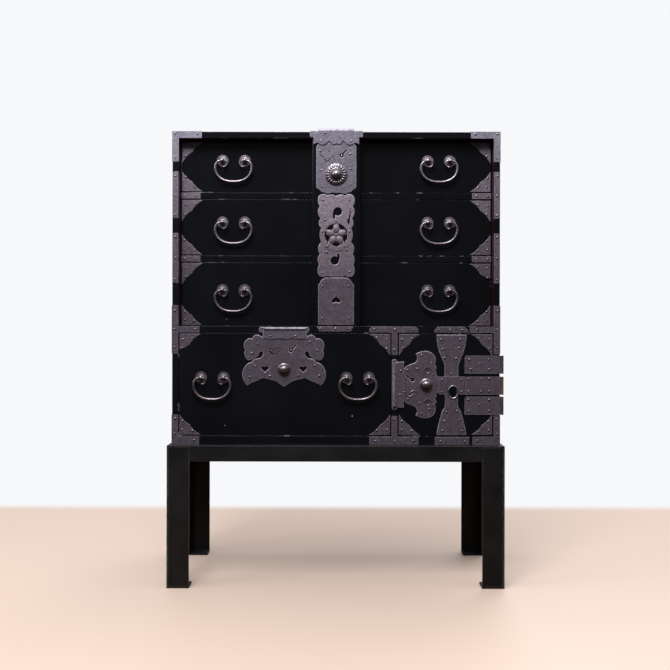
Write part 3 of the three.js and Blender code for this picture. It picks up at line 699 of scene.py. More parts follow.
legs = {
    "front_left": leg,
    "front_right": copy_piece(leg, "front_right_leg", mirror="x"),
    "rear_left": copy_piece(leg, "rear_left_leg", mirror="y"),
}
legs["rear_right"] = copy_piece(legs["rear_left"], "rear_right_leg", mirror="x")
for corner, made in legs.items():
    shade(made, 50)
    dress(made, "frame", painted_steel, f"stand_leg_{corner}")

# %% [markdown]
# The frame starts as a plane of the stand's outer size. Two insets give it a narrow outer band and a wide
# ledge, the middle is deleted, and what is left is extruded to the thickness of the steel. The outer band
# is then pulled down between the legs to make the rails.

# %% Model the top frame of the stand
LEDGE = 30
LEG_WIDTH = 42

frame_low, frame_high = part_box("stand_top_frame")
leave_edit_mode()
bpy.ops.mesh.primitive_plane_add(size=1, location=(0, 0, frame_high.z))
bpy.context.object.scale = (frame_high.x - frame_low.x, frame_high.y - frame_low.y, 1)
top_frame = apply_place(bpy.context.object, "stand_frame")
edit(top_frame)
bpy.ops.mesh.select_all(action="SELECT")
bpy.ops.mesh.inset(thickness=STEEL * MM)
bpy.ops.mesh.inset(thickness=(LEDGE - STEEL) * MM)
bpy.ops.mesh.delete(type="FACE")
bpy.ops.mesh.select_all(action="SELECT")
pull(z=-STEEL)
side, front = frame_high.x / MM, frame_high.y / MM
slice_at(x=[LEG_WIDTH - side, side - LEG_WIDTH], y=[LEG_WIDTH - front, front - LEG_WIDTH])
bpy.ops.mesh.select_all(action="SELECT")
bpy.ops.mesh.normals_make_consistent(inside=False)


def is_rail(face):
    """The underside of the outer band, between two legs."""
    x, y = (abs(value) / MM for value in centre_of(face).xy)
    along_front = y > front - STEEL and x < side - LEG_WIDTH
    along_side = x > side - STEEL and y < front - LEG_WIDTH
    return face.normal.z < -0.9 and (along_front or along_side)


choose("FACE", is_rail)
pull(z=(frame_low.z - frame_high.z) / MM + STEEL)
edit(top_frame)
bpy.ops.mesh.select_all(action="SELECT")
bpy.ops.mesh.dissolve_limited(angle_limit=math.radians(1))
dress(file_rim(top_frame, STEEL_EDGE, STEEL_RUB), "frame", painted_steel, "stand_top_frame")

# %% [markdown]
# The carcass is ten boards. A board is a block with its edge band marked and its edges rounded by less
# than a millimetre, because lacquer can't cover a sharp corner. The boards are far apart in size, so each
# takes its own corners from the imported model, and one helper does what they share.

# %% Model the boards of the carcass
BOARD_EDGE = 0.32
WEAR_REACH = 1.6
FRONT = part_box("left_side_panel")[0].y
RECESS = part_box("upper_shelf")[0].y


def board(name, low, high):
    """A lacquered board with rounded and marked edges."""
    return soften(mark_edges(block(name, low, high), "wear", WEAR_REACH), BOARD_EDGE)


for node in ("bottom_panel", "back_panel", "upper_shelf", "middle_shelf", "lower_shelf",
             "compartment_divider", "compartment_shelf"):
    dress(board(f"{node}_board", *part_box(node)), "frame", black_lacquer, node)

# %% [markdown]
# Two side boards and the top board turn dark red where they line the recess. The faces there get a second
# material: the boards are cut at the plane of the drawers first, so that the red ends behind the drawers.

# %% Model the boards with a red lining
LININGS = {"left_side_panel": (1, 0, 0), "right_side_panel": (-1, 0, 0), "top_panel": (0, 0, -1)}
RED_END = RECESS + 1 * MM

for node, inwards in LININGS.items():
    made = two_finishes(
        board(f"{node}_board", *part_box(node)), black_lacquer, red_lacquer,
        lambda f: f.normal.dot(inwards) > 0.9 and centre_of(f).y < RED_END, y=[RED_END / MM]
    )
    dress(made, "frame", black_lacquer, node)

# %% [markdown]
# A lock's case lies in a pocket in the board behind its plate. The pocket is cut with a block a little
# larger than the case, so the case stays its own piece and can be seen when the plate is off.

# %% A helper that lets a lock into a board
CASE_GAP = 0.4


def let_in(piece, case):
    """Cuts a pocket for a lock case into the front of a board."""
    low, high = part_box(case)
    gap = Vector((1, 1, 1)) * CASE_GAP * MM
    low, high = low - gap, high + gap
    low.y -= 2 * MM
    return cut_out(piece, block("pocket", low, high))


# %% [markdown]
# A drawer is a lacquered front board on an open box of bare wood. The box starts as a block, its top face
# is inset by the thickness of the sides, and the inner face is pushed down to the bottom board.

# %% Model the drawers
FRONT_BOARD = 15
BOX_WALL = 8
BOX_BOTTOM = 5
BOX_EDGE = 0.5
DRAWERS = {"drawer_1": RECESS, "drawer_2": RECESS, "drawer_3": RECESS, "drawer_4": FRONT}

for drawer, face in DRAWERS.items():
    low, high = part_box(f"{drawer}_front")
    made = board(f"{drawer}_board", (low.x, face, low.z), (high.x, face + FRONT_BOARD * MM, high.z))
    if drawer == "drawer_4":
        let_in(made, "drawer_4_lock_case")
        shade(made, 50)
    dress(made, drawer, black_lacquer, f"{drawer}_front")

    low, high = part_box(f"{drawer}_box")
    box_piece = block(f"{drawer}_case", low, high)
    edit(box_piece)
    choose("FACE", lambda f: f.normal.z > 0.9)
    bpy.ops.mesh.inset(thickness=BOX_WALL * MM)
    pull(z=(low.z - high.z) / MM + BOX_BOTTOM)
    dress(soften(box_piece, BOX_EDGE), drawer, bare_wood, f"{drawer}_box")

# %% [markdown]
# A handle hangs from two posts. Each is a flat rosette with a thin raised rim and a ball-headed post
# through it, and the ball is bored for the rod. Turned pieces like this are made as on a lathe, from a
# disc that is extruded and scaled to one radius after another. The last step merges its points into a
# closed tip.

# %% A helper for turned pieces


def turn(name, profile, centre=(0, 0, 0), sides=32):
    """A turned piece that faces the front, its profile given as radius and height from seat to tip."""
    (radius, height), x, z = profile[0], centre[0] * MM, centre[2] * MM
    leave_edit_mode()
    bpy.ops.mesh.primitive_circle_add(
        vertices=sides, radius=radius * MM, fill_type="NGON", rotation=(QUARTER_TURN, 0, 0),
        location=(x, centre[1] * MM - height * MM, z),
    )
    made = apply_place(bpy.context.object, name)
    edit(made)
    bpy.ops.mesh.select_all(action="SELECT")
    for next_radius, next_height in profile[1:]:
        pull(y=height - next_height)
        if next_radius == 0:
            bpy.ops.mesh.merge(type="CENTER")
            break
        share = next_radius / radius
        bpy.ops.transform.resize(value=(share, 1, share), center_override=(x, 0, z))
        radius, height = next_radius, next_height
    return shade(recalculate(made), 42)


# %% [markdown]
# The profile of a post runs from the seat of its rosette to the tip of its ball. A bar through the ball
# cuts the bore, and the faces near the seat take the rosette's own duller iron.

# %% Model one handle post
POST_REACH = 9.5
BALL, BORE = 4.3, 2.45
ROSETTE_HEIGHT = 4.2
POST_PROFILE = [
    (11.5, 0), (11.5, 0.9), (11.1, 1.5), (10.5, 1.6), (9.9, 1.2), (8.2, 1.2), (6.2, 1.6), (4.4, 2.3),
    (3.2, 3.3), (2.9, 4.6), (3.2, 5.6), (3.9, 6.7), (BALL, 8.2), (BALL + 0.1, POST_REACH), (BALL, 10.8),
    (3.8, 12.1), (2.8, 13.1), (1.5, 13.6), (0, 13.8),
]
bore = round_bar("bore", BORE, 30, (0, -POST_REACH, 0), (0, QUARTER_TURN, 0), 24)
post = cut_out(turn("post_model", POST_PROFILE, sides=28), bore)
two_finishes(post, knob_iron, rosette_iron, lambda f: centre_of(f).y > -ROSETTE_HEIGHT * MM)
shade(post, 42)

# %% [markdown]
# The bail is one forged rod. It is stout below, thins as it passes through each post, and ends in a curl
# with a small ball. A curve with a radius at each point is the simplest way to such a rod: the half is
# drawn from the curl to the lowest point, mirrored, and the whole is converted to a mesh.

# %% Model one bail
HALF_BAIL = [
    (20.6, -12.7, 1.0), (19.3, -12.5, 2.1), (16.3, -11.8, 1.45), (13.4, -9.4, 1.5), (12.3, -5.8, 1.6),
    (13.5, -2.2, 1.7), (17.0, -0.3, 1.8), (21.5, 0.0, 1.8), (25.8, -0.3, 2.0), (30.2, -2.4, 2.5),
    (33.6, -7.2, 2.75), (35.1, -14.6, 2.75), (33.4, -23.6, 2.75), (28.4, -31.4, 2.75), (20.6, -37.2, 2.75),
    (10.6, -40.4, 2.75), (0.0, -41.2, 2.75),
]


def forge_rod(name, path):
    """A round rod through points given as x, z and radius, in millimetres."""
    leave_edit_mode()
    bpy.ops.curve.primitive_bezier_curve_add()
    rod = bpy.context.object
    rod.data.dimensions = "3D"
    spline = rod.data.splines[0]
    spline.bezier_points.add(len(path) - len(spline.bezier_points))
    for point, (x, z, radius) in zip(spline.bezier_points, path):
        point.co = (x * MM, 0, z * MM)
        point.radius = radius
        point.handle_left_type = point.handle_right_type = "AUTO"
    spline.resolution_u = 4
    rod.data.bevel_depth = 1 * MM
    rod.data.bevel_resolution = 4
    rod.data.use_fill_caps = True
    take(rod)
    bpy.ops.object.convert(target="MESH")
    return shade(recalculate(apply_place(bpy.context.object, name)), 60)


bail = forge_rod("bail_model", HALF_BAIL + [(-x, z, radius) for x, z, radius in HALF_BAIL[-2::-1]])
print("bail", tuple(round(size / MM, 1) for size in bail.dimensions))

# %% [markdown]
# The post and the bail are copied to all eight handles. Each pair of posts rides on its drawer, and each
# bail on its own body, which turns about the line through the posts.

# %% Hang the handles
HALF_SPAN = 21.5
ROD_IN_POST = 2.1

for drawer, face in DRAWERS.items():
    for side in ("left", "right"):
        low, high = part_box(f"{drawer}_bail_{side}")
        x, z = (low.x + high.x) / 2 / MM, high.z / MM - ROD_IN_POST
        places = [(x + half, face / MM, z) for half in (-HALF_SPAN, HALF_SPAN)]
        pair = together(f"{drawer}_{side}_posts", *[copy_piece(post, "post", place) for place in places])
        dress(pair, drawer, knob_iron)
        hung = copy_piece(bail, f"{drawer}_{side}_bail", (x, face / MM - POST_REACH, z))
        dress(hung, f"{drawer}_{side}_handle", bail_iron, f"{drawer}_bail_{side}")
for model in (post, bail):
    bpy.data.objects.remove(model)

# %% [markdown]
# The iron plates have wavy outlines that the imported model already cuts. A copy of a plate is merged,
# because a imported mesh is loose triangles, and its flat faces are joined up again. Its front is then inset
# three times. Pushing the outer rings back rounds the rim, as filing does, and the last ring keeps the
# rubbed band narrow.

# %% Helpers for plates
RIM_PUSH, RING_PUSH = 0.62, 0.14
FLATNESS = 0.02


def round_rim(front, rim):
    """In edit mode, rounds the rim of the faces that lie in the front plane, and writes the rim attribute."""

    def in_front(point):
        return abs(point.co.y - front) < FLATNESS * MM

    choose("FACE", lambda f: all(in_front(v) for v in f.verts))
    for width in (rim / 2, rim / 2, rim):
        bpy.ops.mesh.inset(thickness=width * MM, use_boundary=True, use_even_offset=True)
    mesh = bmesh.from_edit_mesh(bpy.context.object.data)
    layer = mesh.verts.layers.float.new("rim")
    flat = {v for v in mesh.verts if in_front(v)}
    outer = {v for v in flat if any(edge.other_vert(v) not in flat for edge in v.link_edges)}
    second = {edge.other_vert(v) for v in outer for edge in v.link_edges} & flat - outer
    third = {edge.other_vert(v) for v in second for edge in v.link_edges} & flat - outer - second
    for v in mesh.verts:
        v[layer] = 0.0 if v in flat - outer - second - third else 1.0
    for ring, push in ((outer, rim * RIM_PUSH), (second, rim * RING_PUSH)):
        for v in ring:
            v.co.y += push * MM
    bmesh.update_edit_mesh(bpy.context.object.data)
    bpy.ops.object.mode_set(mode="OBJECT")


def plate_from(node, name, iron=plate_iron, rim=0.8, front=None):
    """A copy of a packed iron plate, its front rim rounded over a width in millimetres."""
    leave_edit_mode()
    made = bpy.data.objects.new(name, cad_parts[node].data.copy())
    bpy.context.scene.collection.objects.link(made)
    made.data.materials.clear()
    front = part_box(node)[0].y if front is None else front
    edit(made)
    bpy.ops.mesh.select_all(action="SELECT")
    bpy.ops.mesh.remove_doubles(threshold=1e-6)
    bpy.ops.mesh.dissolve_limited(angle_limit=math.radians(1))
    round_rim(front, rim)
    made.data.materials.append(iron)
    return shade(made, 40)


# %% [markdown]
# Nails hold every plate. A nail head is a low dome, about five millimetres across. It is modelled once
# from a sphere that is flattened and cut in half, and copied wherever a nail goes. A seeded random turn
# and size keeps the heads from looking pressed by a machine.

# %% Model one nail head, and a helper that drives nails
NAIL_RADIUS, NAIL_HEIGHT = 2.5, 1.55
NAIL_SUNK = 0.15
UNLIKE = 0.12

leave_edit_mode()
bpy.ops.mesh.primitive_uv_sphere_add(
    segments=12, ring_count=8, radius=NAIL_RADIUS * MM, rotation=(QUARTER_TURN, 0, 0)
)
nail = apply_place(bpy.context.object, "nail_model")
nail.scale.y = NAIL_HEIGHT / NAIL_RADIUS
saw_off(apply_place(nail), (0, 0, 0), (0, 1, 0))
shade(recalculate(nail), 50)
hammer = random.Random(7)


def nail_down(name, body, places, y):
    """Nails at places given as x and z, in millimetres, on a plate whose face is the plane y, in metres."""
    heads = []
    for x, z in places:
        head = copy_piece(nail, "head")
        head.scale = [1 + hammer.uniform(-UNLIKE, UNLIKE)] * 3
        head.rotation_euler.y = hammer.uniform(0, math.tau)
        head.location = (x * MM, y + NAIL_SUNK * MM, z * MM)
        heads.append(apply_place(head))
    return dress(together(name, *heads), body, nail_iron)


# %% [markdown]
# Smiths sign their locks with a small chiselled figure, here a plain pattern of cuts: rows of short ones
# on the bar and single long strokes on the large drawer. One cut is a narrow wedge. The wedges of a line
# are turned to follow it and taken out of the plate together, and the cut metal is black.

# %% A helper for chiselled marks, and one that lays a whole plate
CUT_SHARE = 0.94
CUT_TAPER = (0.55, 1, 0.3)


def chisel(piece, lines, front, width=3.2, depth=0.9, every=4.9):
    """Cuts marks along lines of x, z points, in millimetres, into the plate's front."""
    for start, end in lines:
        run = Vector(end) - Vector(start)
        count = max(1, round(run.length / every))
        wedges = []
        for number in range(count):
            x, z = Vector(start) + run * (number + 0.5) / count
            leave_edit_mode()
            bpy.ops.mesh.primitive_cube_add(size=1, location=(x * MM, front, z * MM))
            wedge = bpy.context.object
            wedge.scale = (run.length / count * CUT_SHARE * MM, depth * 2 * MM, width * MM)
            wedge.rotation_euler.y = -math.atan2(run.y, run.x)
            apply_place(wedge)
            edit(wedge)
            choose("FACE", lambda f: f.normal.y > 0.9)
            bpy.ops.transform.resize(value=CUT_TAPER, center_override=(x * MM, front, z * MM))
            wedges.append(wedge)
        cut_out(piece, together("wedges", *wedges), finish=dark_iron)
    return piece


def lay_plate(node, name, body, nails, iron=plate_iron, rim=0.8, cuts=(), **cut_size):
    """A plate on the front, with its chiselled figure and its nails."""
    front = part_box(node)[0].y
    made = plate_from(node, f"{name}_plate", iron, rim)
    if cuts:
        shade(chisel(made, cuts, front, **cut_size), 40)
    dress(made, body, iron, node)
    nail_down(f"{name}_nails", body, nails, front)
    return made


# %% [markdown]
# The locking bar is a moulded board. It starts as a block. Two cuts mark off the raised face, the face
# between them is pulled forward, and the outer front edges are bevelled in four steps to a soft round.

# %% Model the moulded board of the locking bar
BAR_FACE = 40
MOULDING_STEP = 2.7
BAR_ROUND = 4.2

low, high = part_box("locking_bar_board")
bar = block("bar_board", (low.x, low.y + MOULDING_STEP * MM, low.z), high)
edit(bar)
slice_at(x=[-BAR_FACE, BAR_FACE])
choose("FACE", lambda f: f.normal.y < -0.9 and abs(centre_of(f).x) < BAR_FACE * MM)
pull(y=-MOULDING_STEP)
half_depth = (low.y + high.y) / 2


def is_front_corner(edge):
    """An upright edge on the front, outside the raised face."""
    middle = centre_of(edge)
    return runs_along(edge, 2) and abs(middle.x) > (BAR_FACE + 1) * MM and middle.y < half_depth


choose("EDGE", is_front_corner)
bpy.ops.mesh.bevel(offset=BAR_ROUND * MM, segments=4, profile=0.5)
let_in(bar, "locking_bar_lock_case")
dress(soften(bar, 0.5), "locking_bar", black_lacquer, "locking_bar_board")

# %% [markdown]
# Four fittings lie down the bar: the lock plate under the hasp, its great knob, the crest plate and the
# foot plate. All but the knob are cut from sheet. The lock plate is chiselled, and the pin of the lock
# shows in its keyhole.

# %% Lay the plates on the bar
PLATE_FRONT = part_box("locking_bar_lock_plate")[0].y

bird = [((-30.4, 823.6), (-23.8, 819)), ((-23.2, 817.4), (-18.9, 810.2)), ((-17.4, 811), (-10.2, 818.5)),
        ((-9.4, 819.2), (-4.2, 822.4)), ((-31.6, 833), (-28.6, 826.8)), ((-15.6, 830.2), (-12.4, 831))]
lay_plate("locking_bar_lock_plate", "bar_lock", "locking_bar",
          [(-31.2, 831.2), (27.1, 825.8), (27.1, 797.3), (-28, 795), (-27.6, 763.4), (27.1, 767)],
          blue_iron, cuts=bird)
lay_plate("locking_bar_crest_plate", "bar_crest", "locking_bar",
          [(-25.6, 738.2), (25.6, 738.2), (-21.3, 699.6), (22.1, 702.1), (-18.1, 637.9), (19.8, 642.4),
           (-25.8, 598.7), (25.7, 600.1)], crest_iron, 0.7)
lay_plate("locking_bar_foot_plate", "bar_foot", "locking_bar",
          [(-26.3, 573.2), (23.9, 573.2), (-26.3, 511.8), (25.3, 512.2)])

# %% [markdown]
# The medallion on the crest is a raised ring round a flower of five petals. The ring starts as a disc with
# an inset hole. One petal is modelled, from a flattened sphere with one end drawn to a point, and is
# copied five times round the middle.

# %% Model the medallion
CREST_Z = 670.9
RING_OUTER, RING_INNER, RING_HEIGHT = 31.6, 21.9, 0.9
RING_NAILS = [(0, 26.9), (-25.8, 6.8), (25.4, 6.8), (-16.6, -21.4), (15.6, -21.4)]
PETALS, PETAL_SIZE, PETAL_OUT = 5, (6.2, 1.7, 8.4), 11.6
SHOULDER, SHOULDER_SHARE = 5.5, 0.45
PETAL_TIP, TIP_DRAWN = 8.2, 1.4
PETAL_SUNK, FLOWER_NAIL_OUT = 0.1, 0.5


def set_round(model, name, count, middle):
    """Copies of a model, turned round a middle that is given in millimetres. They are one piece."""
    copies = []
    for number in range(count):
        made = copy_piece(model, "turned")
        made.rotation_euler.y = number * math.tau / count
        made.location = Vector(middle) * MM
        copies.append(apply_place(made))
    bpy.data.objects.remove(model)
    return shade(together(name, *copies), 60)


leave_edit_mode()
bpy.ops.mesh.primitive_circle_add(
    vertices=64, radius=RING_OUTER * MM, fill_type="NGON", rotation=(QUARTER_TURN, 0, 0),
    location=(0, PLATE_FRONT, CREST_Z * MM),
)
ring = apply_place(bpy.context.object, "bar_crest_ring")
edit(ring)
bpy.ops.mesh.select_all(action="SELECT")
bpy.ops.mesh.inset(thickness=(RING_OUTER - RING_INNER) * MM)
bpy.ops.mesh.delete(type="FACE")
bpy.ops.mesh.select_all(action="SELECT")
pull(y=-RING_HEIGHT)
dress(soften(recalculate(ring), 0.6, 50), "locking_bar", crest_iron)

leave_edit_mode()
bpy.ops.mesh.primitive_uv_sphere_add(segments=20, ring_count=12, radius=1 * MM)
bpy.context.object.scale = PETAL_SIZE
petal = apply_place(bpy.context.object, "petal")
edit(petal)
choose("VERT", lambda v: v.co.z > SHOULDER * MM)
bpy.ops.transform.resize(value=(SHOULDER_SHARE, 1, 1), center_override=(0, 0, 0))
choose("VERT", lambda v: v.co.z > PETAL_TIP * MM)
bpy.ops.transform.translate(value=(0, 0, TIP_DRAWN * MM))
saw_off(petal, (0, PETAL_SUNK * MM, 0), (0, 1, 0))
petal.location = (0, 0, PETAL_OUT * MM)
apply_place(petal)
flower = set_round(petal, "bar_crest_flower", PETALS, (0, PLATE_FRONT / MM, CREST_Z))
dress(flower, "locking_bar", crest_iron)
ring_nails = [(x, CREST_Z + up) for x, up in RING_NAILS]
nail_down("bar_ring_nails", "locking_bar", ring_nails, PLATE_FRONT - RING_HEIGHT * MM)
nail_down("bar_flower_nail", "locking_bar", [(0, CREST_Z)], PLATE_FRONT - FLOWER_NAIL_OUT * MM)

# %% [markdown]
# The great knob is turned like the posts, with a gadrooned flange: twenty small lobes lie round a domed
# boss. One lobe is a flattened sphere that leans outwards and is cut off at its seat. It is copied round
# the middle as the petals are.

# %% Model the great knob
GREAT_PROFILE = [
    (21.2, 0), (21.2, 0.7), (20.6, 1.2), (17.0, 1.9), (13.8, 2.4), (13.2, 2.9), (12.9, 3.9), (12.2, 4.3),
    (11.3, 4.2), (10.9, 4.0), (10.7, 4.8), (10.4, 6.2), (9.5, 8.2), (7.9, 10.0), (5.7, 11.7), (3.2, 12.9),
    (1.3, 13.4), (0, 13.5),
]
LOBES, LOBE_SIZE, LEAN = 20, (2.75, 2.3, 4.4), math.radians(26)
LOBE_OUT, LOBE_FORWARD, LOBE_SEAT = 17.2, 1.5, 0.3


def seat_of(node):
    """The middle of a knob's seat, at the back of its packed box, in millimetres."""
    middle = middle_of(node)
    return (middle.x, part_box(node)[1].y / MM, middle.z)


seat = seat_of("locking_bar_knob")
boss = turn("bar_knob_boss", GREAT_PROFILE, seat, 48)
leave_edit_mode()
bpy.ops.mesh.primitive_uv_sphere_add(segments=14, ring_count=8, radius=1 * MM)
lobe = bpy.context.object
lobe.scale = LOBE_SIZE
lobe.rotation_euler.x = -LEAN
lobe.location = (0, -LOBE_FORWARD * MM, LOBE_OUT * MM)
saw_off(apply_place(lobe, "lobe"), (0, -LOBE_SEAT * MM, 0), (0, 1, 0))
great_knob = together("bar_knob_piece", boss, set_round(lobe, "lobes", LOBES, seat))
dress(great_knob, "locking_bar", knob_iron, "locking_bar_knob")

# %% [markdown]
# The two smaller knobs, on the large drawer and the door, are plain domes on a stepped flange.

# %% Model the small knobs
SMALL_PROFILE = [
    (12.7, 0), (12.7, 0.8), (12.1, 1.7), (11.2, 2.2), (10.4, 2.3), (9.9, 2.7), (9.7, 4.0), (9.4, 5.8),
    (8.6, 7.8), (7.2, 9.5), (5.2, 10.9), (2.9, 11.7), (1.2, 12.0), (0, 12.0),
]
for node, body in (("drawer_4_knob", "drawer_4"), ("door_knob", "door")):
    dress(turn(f"{node}_piece", SMALL_PROFILE, seat_of(node), 40), body, knob_iron, node)

# %% [markdown]
# The large drawer and the door have cloud-shaped lock plates with the same rim and nails. The drawer's has
# a chiselled figure. The door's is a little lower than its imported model, so its points are drawn closer
# together in height.

# %% Lay the lock plates of the large drawer and the door
DOOR_PLATE_SHARE = 0.968

figure = [((-129.7, 451.4), (-117, 440.4)), ((-116.6, 440.4), (-107, 452)),
          ((-129.6, 452.2), (-124.4, 455.2)), ((-123.8, 454.6), (-119.4, 449.6)),
          ((-118.8, 450), (-114.2, 455.6)), ((-113.2, 456.2), (-107.4, 453.4))]
lay_plate("drawer_4_lock_plate", "drawer_4_cloud", "drawer_4",
          [(-149.6, 462.9), (-160.9, 444.5), (-49.7, 466.5), (-35.8, 450.9), (-154.0, 420.1), (-164.1, 399.5),
           (-126.0, 401.2), (-72.1, 403.0), (-40.1, 421.6), (-31.5, 402.4)],
          cuts=figure, width=2.8, every=20)
plate = lay_plate("door_lock_plate", "door_cloud", "door",
                  [(164, 441.5), (182.7, 427), (136.8, 413.5), (154.8, 415.7), (186.5, 404.8), (179, 339.1),
                   (163.7, 329.8), (186, 346.8), (160.5, 349.6), (137.8, 357.7)])
edit(plate)
bpy.ops.mesh.select_all(action="SELECT")
middle = middle_of("door_lock_plate") * MM
bpy.ops.transform.resize(value=(1, 1, DOOR_PLATE_SHARE), center_override=middle)
leave_edit_mode()

# %% [markdown]
# Each keyhole shows the round pin that the hollow key slides over. It is turned like a post and stands in
# the hole. Two are bright from use, and the door's is dark, as painted shade in its keyhole.

# %% Set the pins in the keyholes
PIN_PROFILE = [(1.5, 0), (1.5, 0.6), (1.2, 0.95), (0.6, 1.15), (0, 1.2)]
KEYHOLES = {
    "locking_bar": (bright_iron, 10.0, 36.4),
    "drawer_4": (bright_iron, 13.0, 36.4),
    "door": (rust_and_shade_iron, -26.3, 9.7),
}
for body, (iron, right, up) in KEYHOLES.items():
    knob = middle_of(f"{body}_knob")
    place = (knob.x + right, FRONT / MM, knob.z + up)
    dress(turn(f"{body}_lock_pin", PIN_PROFILE, place, 16), body, iron)

# %% [markdown]
# A hasp flap turns on a rolled barrel and ends in a wavy edge. It is nailed to nothing, but carries two or
# three rivets that hold its staple. The top flap is widest, because it is bent over the edge of the chest.

# %% Lay the hasps
FLAP_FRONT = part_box("top_hasp_flap")[0].y

RIVETS = {
    "top_hasp": (blue_iron, [(-30, 850.8), (28.7, 850.4), (-21.4, 865.2)]),
    "drawer_hasp": (pale_iron, [(-124.3, 477.6), (-77, 477.6)]),
    "door_hasp": (plate_iron, [(123.9, 411.7), (122.8, 366)]),
}
for hasp, (iron, places) in RIVETS.items():
    for node, body, front in ((f"{hasp}_plate", "frame", None), (f"{hasp}_flap", hasp, FLAP_FRONT)):
        dress(plate_from(node, f"{node}_piece", iron, 0.6, front), body, iron, node)
    nail_down(f"{hasp}_rivets", hasp, places, FLAP_FRONT)

# %% [markdown]
# The door is one lacquered board with a pocket for its lock.

# %% Model the door
door = board("door_board", *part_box("door_panel"))
let_in(door, "door_lock_case")
dress(shade(door, 50), "door", black_lacquer, "door_panel")

# %% [markdown]
# The door's lock plate is chased: two dished bosses and a curling cloud stand a little proud beside the
# knob. A boss is turned like a post, as a shallow dish with a dark disc in it, whose darkness is painted
# shade in the hollow of the dish, and the cloud is drawn with the same round rod as the handles.

# %% Chase the door's lock plate
BOSSES = [(174.5, 413.4), (174.8, 352.2)]
DISH_PROFILE = [(6.7, -0.1), (6.6, 0.6), (6.2, 0.9), (5.7, 0.85), (4.6, 0.3), (3.0, 0.15), (0, 0.15)]
DISC_PROFILE = [(3.6, 0.1), (3.4, 0.35), (0, 0.4)]
CLOUD = [
    (156.4, 365.4, 0.5), (152.6, 371.6, 1.2), (146.6, 373.2, 1.4), (142.1, 369.2, 1.4), (144.4, 364.6, 1.2),
    (148.4, 366.8, 0.8), (144.4, 364.6, 1.2), (139.9, 362.6, 1.4), (134.5, 365.8, 1.4), (131.8, 371.4, 1.2),
    (127.0, 370.4, 1.1), (126.8, 365.4, 0.9), (130.6, 364.2, 0.5),
]

for name, profile, iron in (("rings", DISH_PROFILE, bail_iron), ("discs", DISC_PROFILE, rust_and_shade_iron)):
    made = [turn(name, profile, (x, PLATE_FRONT / MM, z), 28) for x, z in BOSSES]
    dress(together(f"door_boss_{name}", *made), "door", iron)
cloud = forge_rod("door_chased_cloud", CLOUD)
cloud.location.y = PLATE_FRONT
dress(apply_place(cloud), "door", bail_iron)

# %% [markdown]
# A cross of iron ties the door together. Its upright flares to both ends, and a band is laid across it and
# carries on into the middle hinge. Where they meet there is an oval hole with a bright ring in it. The ring
# starts as a torus, and is stretched to an oval in edit mode.

# %% Lay the cross on the door
EYELET_LIP, EYELET_START = 1.0, 10

dress(plate_from("door_cross_strap", "door_cross"), "door", plate_iron, "door_cross_strap")
low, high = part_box("door_eyelet")
eyelet_middle = (low + high) / 2
leave_edit_mode()
bpy.ops.mesh.primitive_torus_add(
    major_segments=40, minor_segments=12, major_radius=EYELET_START * MM, minor_radius=EYELET_LIP * MM,
    rotation=(QUARTER_TURN, 0, 0), location=eyelet_middle,
)
eyelet = apply_place(bpy.context.object, "door_oval_ring")
edit(eyelet)
bpy.ops.mesh.select_all(action="SELECT")
reach_x, reach_z = (high.x - low.x) / 2 / MM - EYELET_LIP, (high.z - low.z) / 2 / MM - EYELET_LIP
oval_share = (reach_x / EYELET_START, 1, reach_z / EYELET_START)
bpy.ops.transform.resize(value=oval_share, center_override=eyelet_middle)
dress(shade(eyelet, 60), "door", bright_iron, "door_eyelet")

# %% [markdown]
# The band is a thin block as high as the middle hinge. An oval bar cuts the eyelet's hole through it, and
# the nails of the band and of the cross follow.

# %% Lay the band over the cross
BAND_SHEET = 0.5
BAND_LEFT, BAND_RIGHT = 196.8, 244.8
BAND_NAILS = [(202.7, 395.3), (239.8, 395.3), (202.1, 371.7), (239.8, 372.2)]
CROSS_NAILS = [
    (201.1, 471.3), (237.8, 471.8), (204, 453), (235, 455.4), (207.2, 436.4), (229.4, 435.6), (219.9, 406.9),
    (211.2, 333.1), (231.5, 335.2), (207.5, 316.1), (237.1, 318.5), (204, 297.7), (240.2, 297.4),
]

hinge_low, hinge_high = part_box("door_hinge_middle_strap")
band = block("door_band", (BAND_LEFT * MM, PLATE_FRONT - BAND_SHEET * MM, hinge_low.z),
             (BAND_RIGHT * MM, PLATE_FRONT + 0.3 * MM, hinge_high.z))
oval = round_bar("oval", 1, 10, (0, PLATE_FRONT / MM, 0), (QUARTER_TURN, 0, 0), 40)
oval.scale = (reach_x, 1, reach_z)
oval.location = (eyelet_middle.x, 0, eyelet_middle.z)
cut_out(band, apply_place(oval))
dress(file_rim(band, 0.2), "door", plate_iron)
nail_down("door_band_nails", "door", BAND_NAILS, PLATE_FRONT - BAND_SHEET * MM)
nail_down("door_cross_nails", "door", CROSS_NAILS, PLATE_FRONT)

# %% [markdown]
# Each hinge is a strap rolled round a pin. The strap has two knuckles, and the leaf on the side of the
# chest has the one between them and the pin. Both are made as a smith would see them: a flat bar, a round
# barrel joined to it, and the room for the other half's knuckle cut away. The straps at the top and the
# foot of the door have lost a corner. It is sawn off a copy while the edges are still sharp, because a cut
# through a rounded edge is hard to fill.

# %% Model one strap of a hinge
HINGE_SHEET = 2.2
CORNER_OFF = 3.4
BARREL, PIN, PIN_GAP = 3.1, 1.2, 0.3
KNUCKLE_HALF = 5.8
HINGE_EDGE = 0.35
axis_x, axis_y = hinge_high.x / MM - BARREL, hinge_low.y / MM + BARREL
hinge_z = (hinge_low.z + hinge_high.z) / 2 / MM
hinge_half = (hinge_high.z - hinge_low.z) / 2 / MM


def barrel(name, radius, half):
    """A round bar on the hinge's axis, that many millimetres long each way."""
    return round_bar(name, radius, 2 * half, (axis_x, axis_y, hinge_z))


